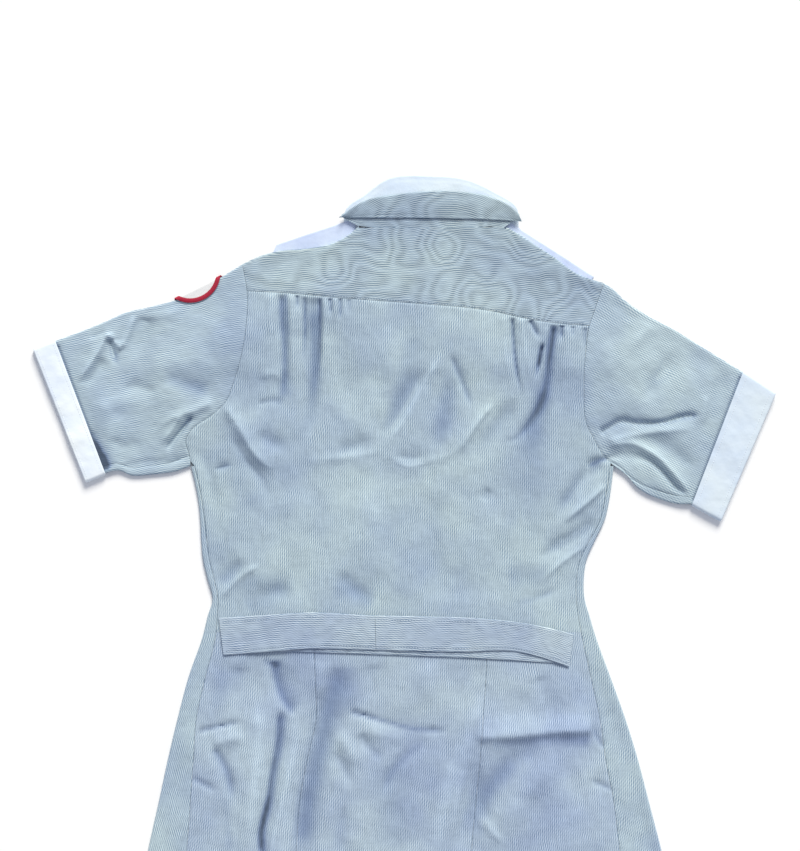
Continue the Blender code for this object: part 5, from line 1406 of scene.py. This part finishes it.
def badge_point(beside, way, lift):
    """A point of the badge: beside the chord's middle, and some way in from the sleeve's top edge.

    Over 0 it lies on the sleeve's upper side, under 0 on its lower one. Near 0 the height follows
    the half-round fold.
    """
    first, last = np.asarray(PATCH_ENDS, float)
    along = unit(last - first)
    inward = np.array([along[1], -along[0]])
    inward = inward if inward[1] < 0 else -inward
    middle = (first + last) / 2 - inward * 2 * SEAM_GAP
    out = FOLD_RADIUS + SEAM_GAP + PATCH_THICKNESS
    depth = np.abs(way)
    plan = middle + along * beside[..., None] + inward * (FOLD_RADIUS - out + depth)[..., None]
    bulge = np.sqrt(np.maximum(out ** 2 - np.maximum(out - depth, 0) ** 2, 0))
    over = top_height(plan) + SEAM_GAP + PATCH_THICKNESS - out
    under = SHOULDER_RISE + FOLD_RADIUS - bulge
    upper = SHOULDER_RISE + FOLD_RADIUS + bulge
    settle = smooth((depth - out) / 6)
    outside = upper * (1 - settle) + (over + out) * settle + lift * smooth(depth / out)
    level = np.where(way > 0, outside, under)
    return np.concatenate([plan, np.maximum(level, 0.05)[..., None]], axis=-1)


def sleeve_badge():
    """Round badge with a blank field and an overlocked rim, folded over the left sleeve's top edge.

    The field is a square grid eased to a disc, and the rim a ring of a low round section.
    """
    hidden = PATCH_SHOWS - PATCH_RADIUS
    side = np.linspace(-1, 1, 64)
    a, b = np.meshgrid(side, side)
    field_inset, rim_inset = 3.6, 4.2
    field = PATCH_RADIUS - field_inset
    beside, way = field * a * np.sqrt(1 - b * b / 2), field * b * np.sqrt(1 - a * a / 2) + hidden
    points = badge_point(beside, way, np.full(beside.shape, -0.25))
    made = surface("badge_blank", points, np.stack([beside, way], axis=-1), BADGE_TWILL,
                   thickness=0.45, facing_up=False)
    laid("badge_blank")
    turn = np.linspace(0, 2 * pi, 241)[:-1]
    across = np.linspace(0, 1, 9)
    radius = (PATCH_RADIUS - rim_inset + RIM_WIDTH * across)[:, None]
    lift = 0.45 * np.sin(pi * across)[:, None] - 0.15
    points = badge_point(radius * np.cos(turn), radius * np.sin(turn) + hidden,
                         np.broadcast_to(lift, (len(across), len(turn))))
    grain = np.stack(np.broadcast_arrays(PATCH_RADIUS * turn[None], RIM_WIDTH * across[:, None]),
                     axis=-1)
    rim = surface("badge_rim", points, grain, RED_THREAD, thickness=0.4, closed=True,
                  facing_up=True)


def button_disc(name, x, y):
    """Button: a disc from a square grid, dished inside its rim, with four holes and a rounded edge.

    The square is eased to the disc, each hole is one cell left out, and the lower face looks down.
    """
    side = np.array([-1, -0.93, -0.84, -0.72, -0.58, -0.45, -0.32, -0.22, -0.12, 0.0,
                     0.12, 0.22, 0.32, 0.45, 0.58, 0.72, 0.84, 0.93, 1])
    a, b = np.meshgrid(side, side)
    u, v = a * np.sqrt(1 - b * b / 2), b * np.sqrt(1 - a * a / 2)
    out = np.sqrt(u * u + v * v)
    dish = 0.45 * smooth((0.78 - out) / 0.16) + 0.5 * smooth((out - 0.88) / 0.12)
    points = np.stack([x + BUTTON_RADIUS * u, y + BUTTON_RADIUS * v, dish], axis=-1)
    keep = np.ones((len(side) - 1, len(side) - 1), bool)
    keep[np.ix_((7, 10), (7, 10))] = False
    grain = np.stack([BUTTON_RADIUS * u, BUTTON_RADIUS * v], axis=-1)
    made = surface(name, points, grain, BUTTON_PLASTIC, keep=keep, facing_up=False,
                   thickness=BUTTON_THICKNESS - 0.55)
    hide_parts(name)


def stitches(name, lines, finish, pitch=2.9, length=2.0, radius=0.22):
    """Straight machine stitches along lines of surface points: short rounded beads, evenly spaced.

    Each bead is three rings of six points with a point at each end, carried to its place by the
    line's direction, its side and its up direction.
    """
    ring = np.linspace(0, 2 * pi, 7)[:-1]
    steps, girth = np.array([-0.38, 0.0, 0.38]) * length, np.array([0.8, 1.0, 0.8]) * radius
    body = np.array([[step, g * cos(t), g * sin(t)] for step, g in zip(steps, girth) for t in ring])
    body = np.concatenate([body, [[-length / 2, 0, 0], [length / 2, 0, 0]]])
    quads = [(6 * r + k, 6 * r + (k + 1) % 6, 6 * r + 6 + (k + 1) % 6, 6 * r + 6 + k)
             for r in range(2) for k in range(6)]
    caps = [((k + 1) % 6, k, 18) for k in range(6)] + [(12 + k, 12 + (k + 1) % 6, 19) for k in range(6)]
    places, faces, count = [], [], 0
    for line in lines:
        line = np.asarray(line, float)
        lengths = run_length(line)
        middles = np.arange(pitch / 2, lengths[-1], pitch)
        at = np.stack([np.interp(middles, lengths, line[:, k]) for k in range(3)], axis=1)
        ahead = np.stack([np.interp(middles + 0.8, lengths, line[:, k]) for k in range(3)], axis=1)
        behind = np.stack([np.interp(middles - 0.8, lengths, line[:, k]) for k in range(3)], axis=1)
        along = unit(ahead - behind)
        aside = unit(np.cross([0.0, 0.0, 1.0], along))
        up = np.cross(along, aside)
        made = (at[:, None] + body[None, :, :1] * along[:, None] + body[None, :, 1:2] * aside[:, None]
                + body[None, :, 2:] * up[:, None])
        places.append(made.reshape(-1, 3))
        offsets = count + 20 * np.arange(len(at))
        faces += [tuple(int(o) + c for c in face) for o in offsets for face in quads + caps]
        count += 20 * len(at)
    mesh = bpy.data.meshes.new(name)
    mesh.from_pydata(((np.concatenate(places) - [*BOX_MIDDLE, 0]) / 1000).tolist(), [], faces)
    mesh.materials.append(finish)
    mesh.shade_smooth()
    made = bpy.data.objects.new(name, mesh)
    bpy.context.scene.collection.objects.link(made)
    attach(made, "root")


def on_back(line, lift=0.05):
    """A plan line laid on the upper face of the back."""
    line = np.asarray(line, float)
    return at_height(line, top_height(line) + lift)


def sewing(belt_grid, cuff_grids):
    """Machine stitching that shows: yoke, belt, cuffs and hem."""
    yoke_line = inset_edge(eased_line(YOKE_SEAM, 120), 2.0)[2:-2]
    level = HEM_Y + HEM_DEPTH
    hem_x = np.linspace(section_at(level, "left_seam") + 2, section_at(level, "right_seam") - 2, 180)
    hem = np.stack([hem_x, np.full(len(hem_x), level)], axis=1)
    belt_lines = [belt_grid[5][1:-1] + [0, 0, 0.12], belt_grid[-6][1:-1] + [0, 0, 0.12]]
    stitches("blue_stitching", [on_back(yoke_line), on_back(hem), *belt_lines], BLUE_THREAD)
    beyond = CUFF_COUNT - CUFF_START
    white_lines = [np.concatenate([grid[k][-CUFF_START:], grid[k][:beyond]]) + [0, 0, 0.1]
                   for grid in cuff_grids for k in (4, 15)]
    stitches("white_stitching", white_lines, WHITE_THREAD)


def table_top():
    """Plain white table, its surface worked out as one level square."""
    mesh = bpy.data.meshes.new("table_top")
    reach, level = 14, -0.0002
    corners = [(-reach, -reach, level), (reach, -reach, level), (reach, reach, level),
               (-reach, reach, level)]
    mesh.from_pydata(corners, [], [(0, 1, 2, 3)])
    made_material, tree, shader = new_material("matt_white_board", 0.9)
    place = add(tree, "ShaderNodeTexCoord")
    clouds = add(tree, "ShaderNodeTexNoise", {"Vector": place.outputs["Object"], "Scale": 3.0,
                                              "Detail": 2.0})
    tone = add(tree, "ShaderNodeMix", {"Factor": clouds.outputs["Fac"], "A": linear("#F7F7F7"),
                                       "B": linear("#F9F9F9")}, data_type="RGBA")
    tree.links.new(tone.outputs["Result"], shader.inputs["Base Color"])
    mesh.materials.append(made_material)
    made = bpy.data.objects.new("table_top", mesh)
    bpy.context.scene.collection.objects.link(made)


def light(name, kind, energy, colour, place, aim, **settings):
    """A light at a place, turned to face its aim."""
    made = bpy.data.objects.new(name, bpy.data.lights.new(name, kind))
    made.data.energy, made.data.color = energy, linear(colour)[:3]
    for key, value in settings.items():
        setattr(made.data, key, value)
    made.location = place
    made.rotation_euler = Vector(np.asarray(aim, float) - place).to_track_quat("-Z", "Y").to_euler()
    bpy.context.scene.collection.objects.link(made)


def view_from_above():
    """Camera straight over the photograph's middle, and soft light from the upper right."""
    camera = bpy.data.objects.new("camera", bpy.data.cameras.new("camera"))
    # metres: the camera's height, and how much of the table the picture is wide
    distance, width = 3.0, 0.848
    camera.data.sensor_fit = "HORIZONTAL"
    camera.data.lens = camera.data.sensor_width * distance / width
    camera.location = (-0.005, 0.3088, distance + 0.006)
    bpy.context.scene.collection.objects.link(camera)
    bpy.context.scene.camera = camera
    light("window", "SUN", 3.9, "#FFFBF1", (0.4, 1.9, 1.25), (0.0, 0.0, 0.0), angle=radians(26))
    world = bpy.data.worlds.new("pale_room")
    world.use_nodes = True
    world.node_tree.nodes["Background"].inputs["Color"].default_value = linear("#E6ECFC")
    world.node_tree.nodes["Background"].inputs["Strength"].default_value = 0.52
    bpy.context.scene.world = world
    bpy.context.scene.view_settings.view_transform = "Standard"


def build():
    """All the pieces, from the yoke down, then the table, the camera and the light."""
    forward_left, forward_right = yoke()
    back_bodice()
    back_skirt()
    over = SOLID_WALL + 2 * SEAM_GAP
    front_bodice("left", STATIONS_LEFT, FRONT_NECK_LEFT, forward_left, over)
    front_bodice("right", STATIONS_RIGHT, FRONT_NECK_RIGHT, forward_right, 0.0)
    front_skirt("left", over)
    front_skirt("right", 0.0)
    sleeve("sleeve_left", STATIONS_LEFT, SLEEVE_TOP_LEFT, SLEEVE_BOTTOM_LEFT, CUFF_LEFT, 101.0, 10.0)
    sleeve("sleeve_right", STATIONS_RIGHT, SLEEVE_TOP_RIGHT, SLEEVE_BOTTOM_RIGHT, CUFF_RIGHT, 62.0, 9.0)
    # the left cuff takes the copy of white with painted light
    cuffs = [cuff("cuff_left", CUFF_LEFT, LIT_WHITE), cuff("cuff_right", CUFF_RIGHT, WHITE)]
    belt_grid = belt()
    striped_collar()
    white_collar()
    strap("strap_left", STRAP_LEFT)
    strap("strap_right", STRAP_RIGHT)
    sleeve_badge()
    for k in range(BUTTON_COUNT):
        y = FIRST_BUTTON_Y - k * BUTTON_PITCH
        button_disc(f"button_{k + 1:02d}", centre_front(y), y)
    sewing(belt_grid, cuffs)
    table_top()
    view_from_above()


build()
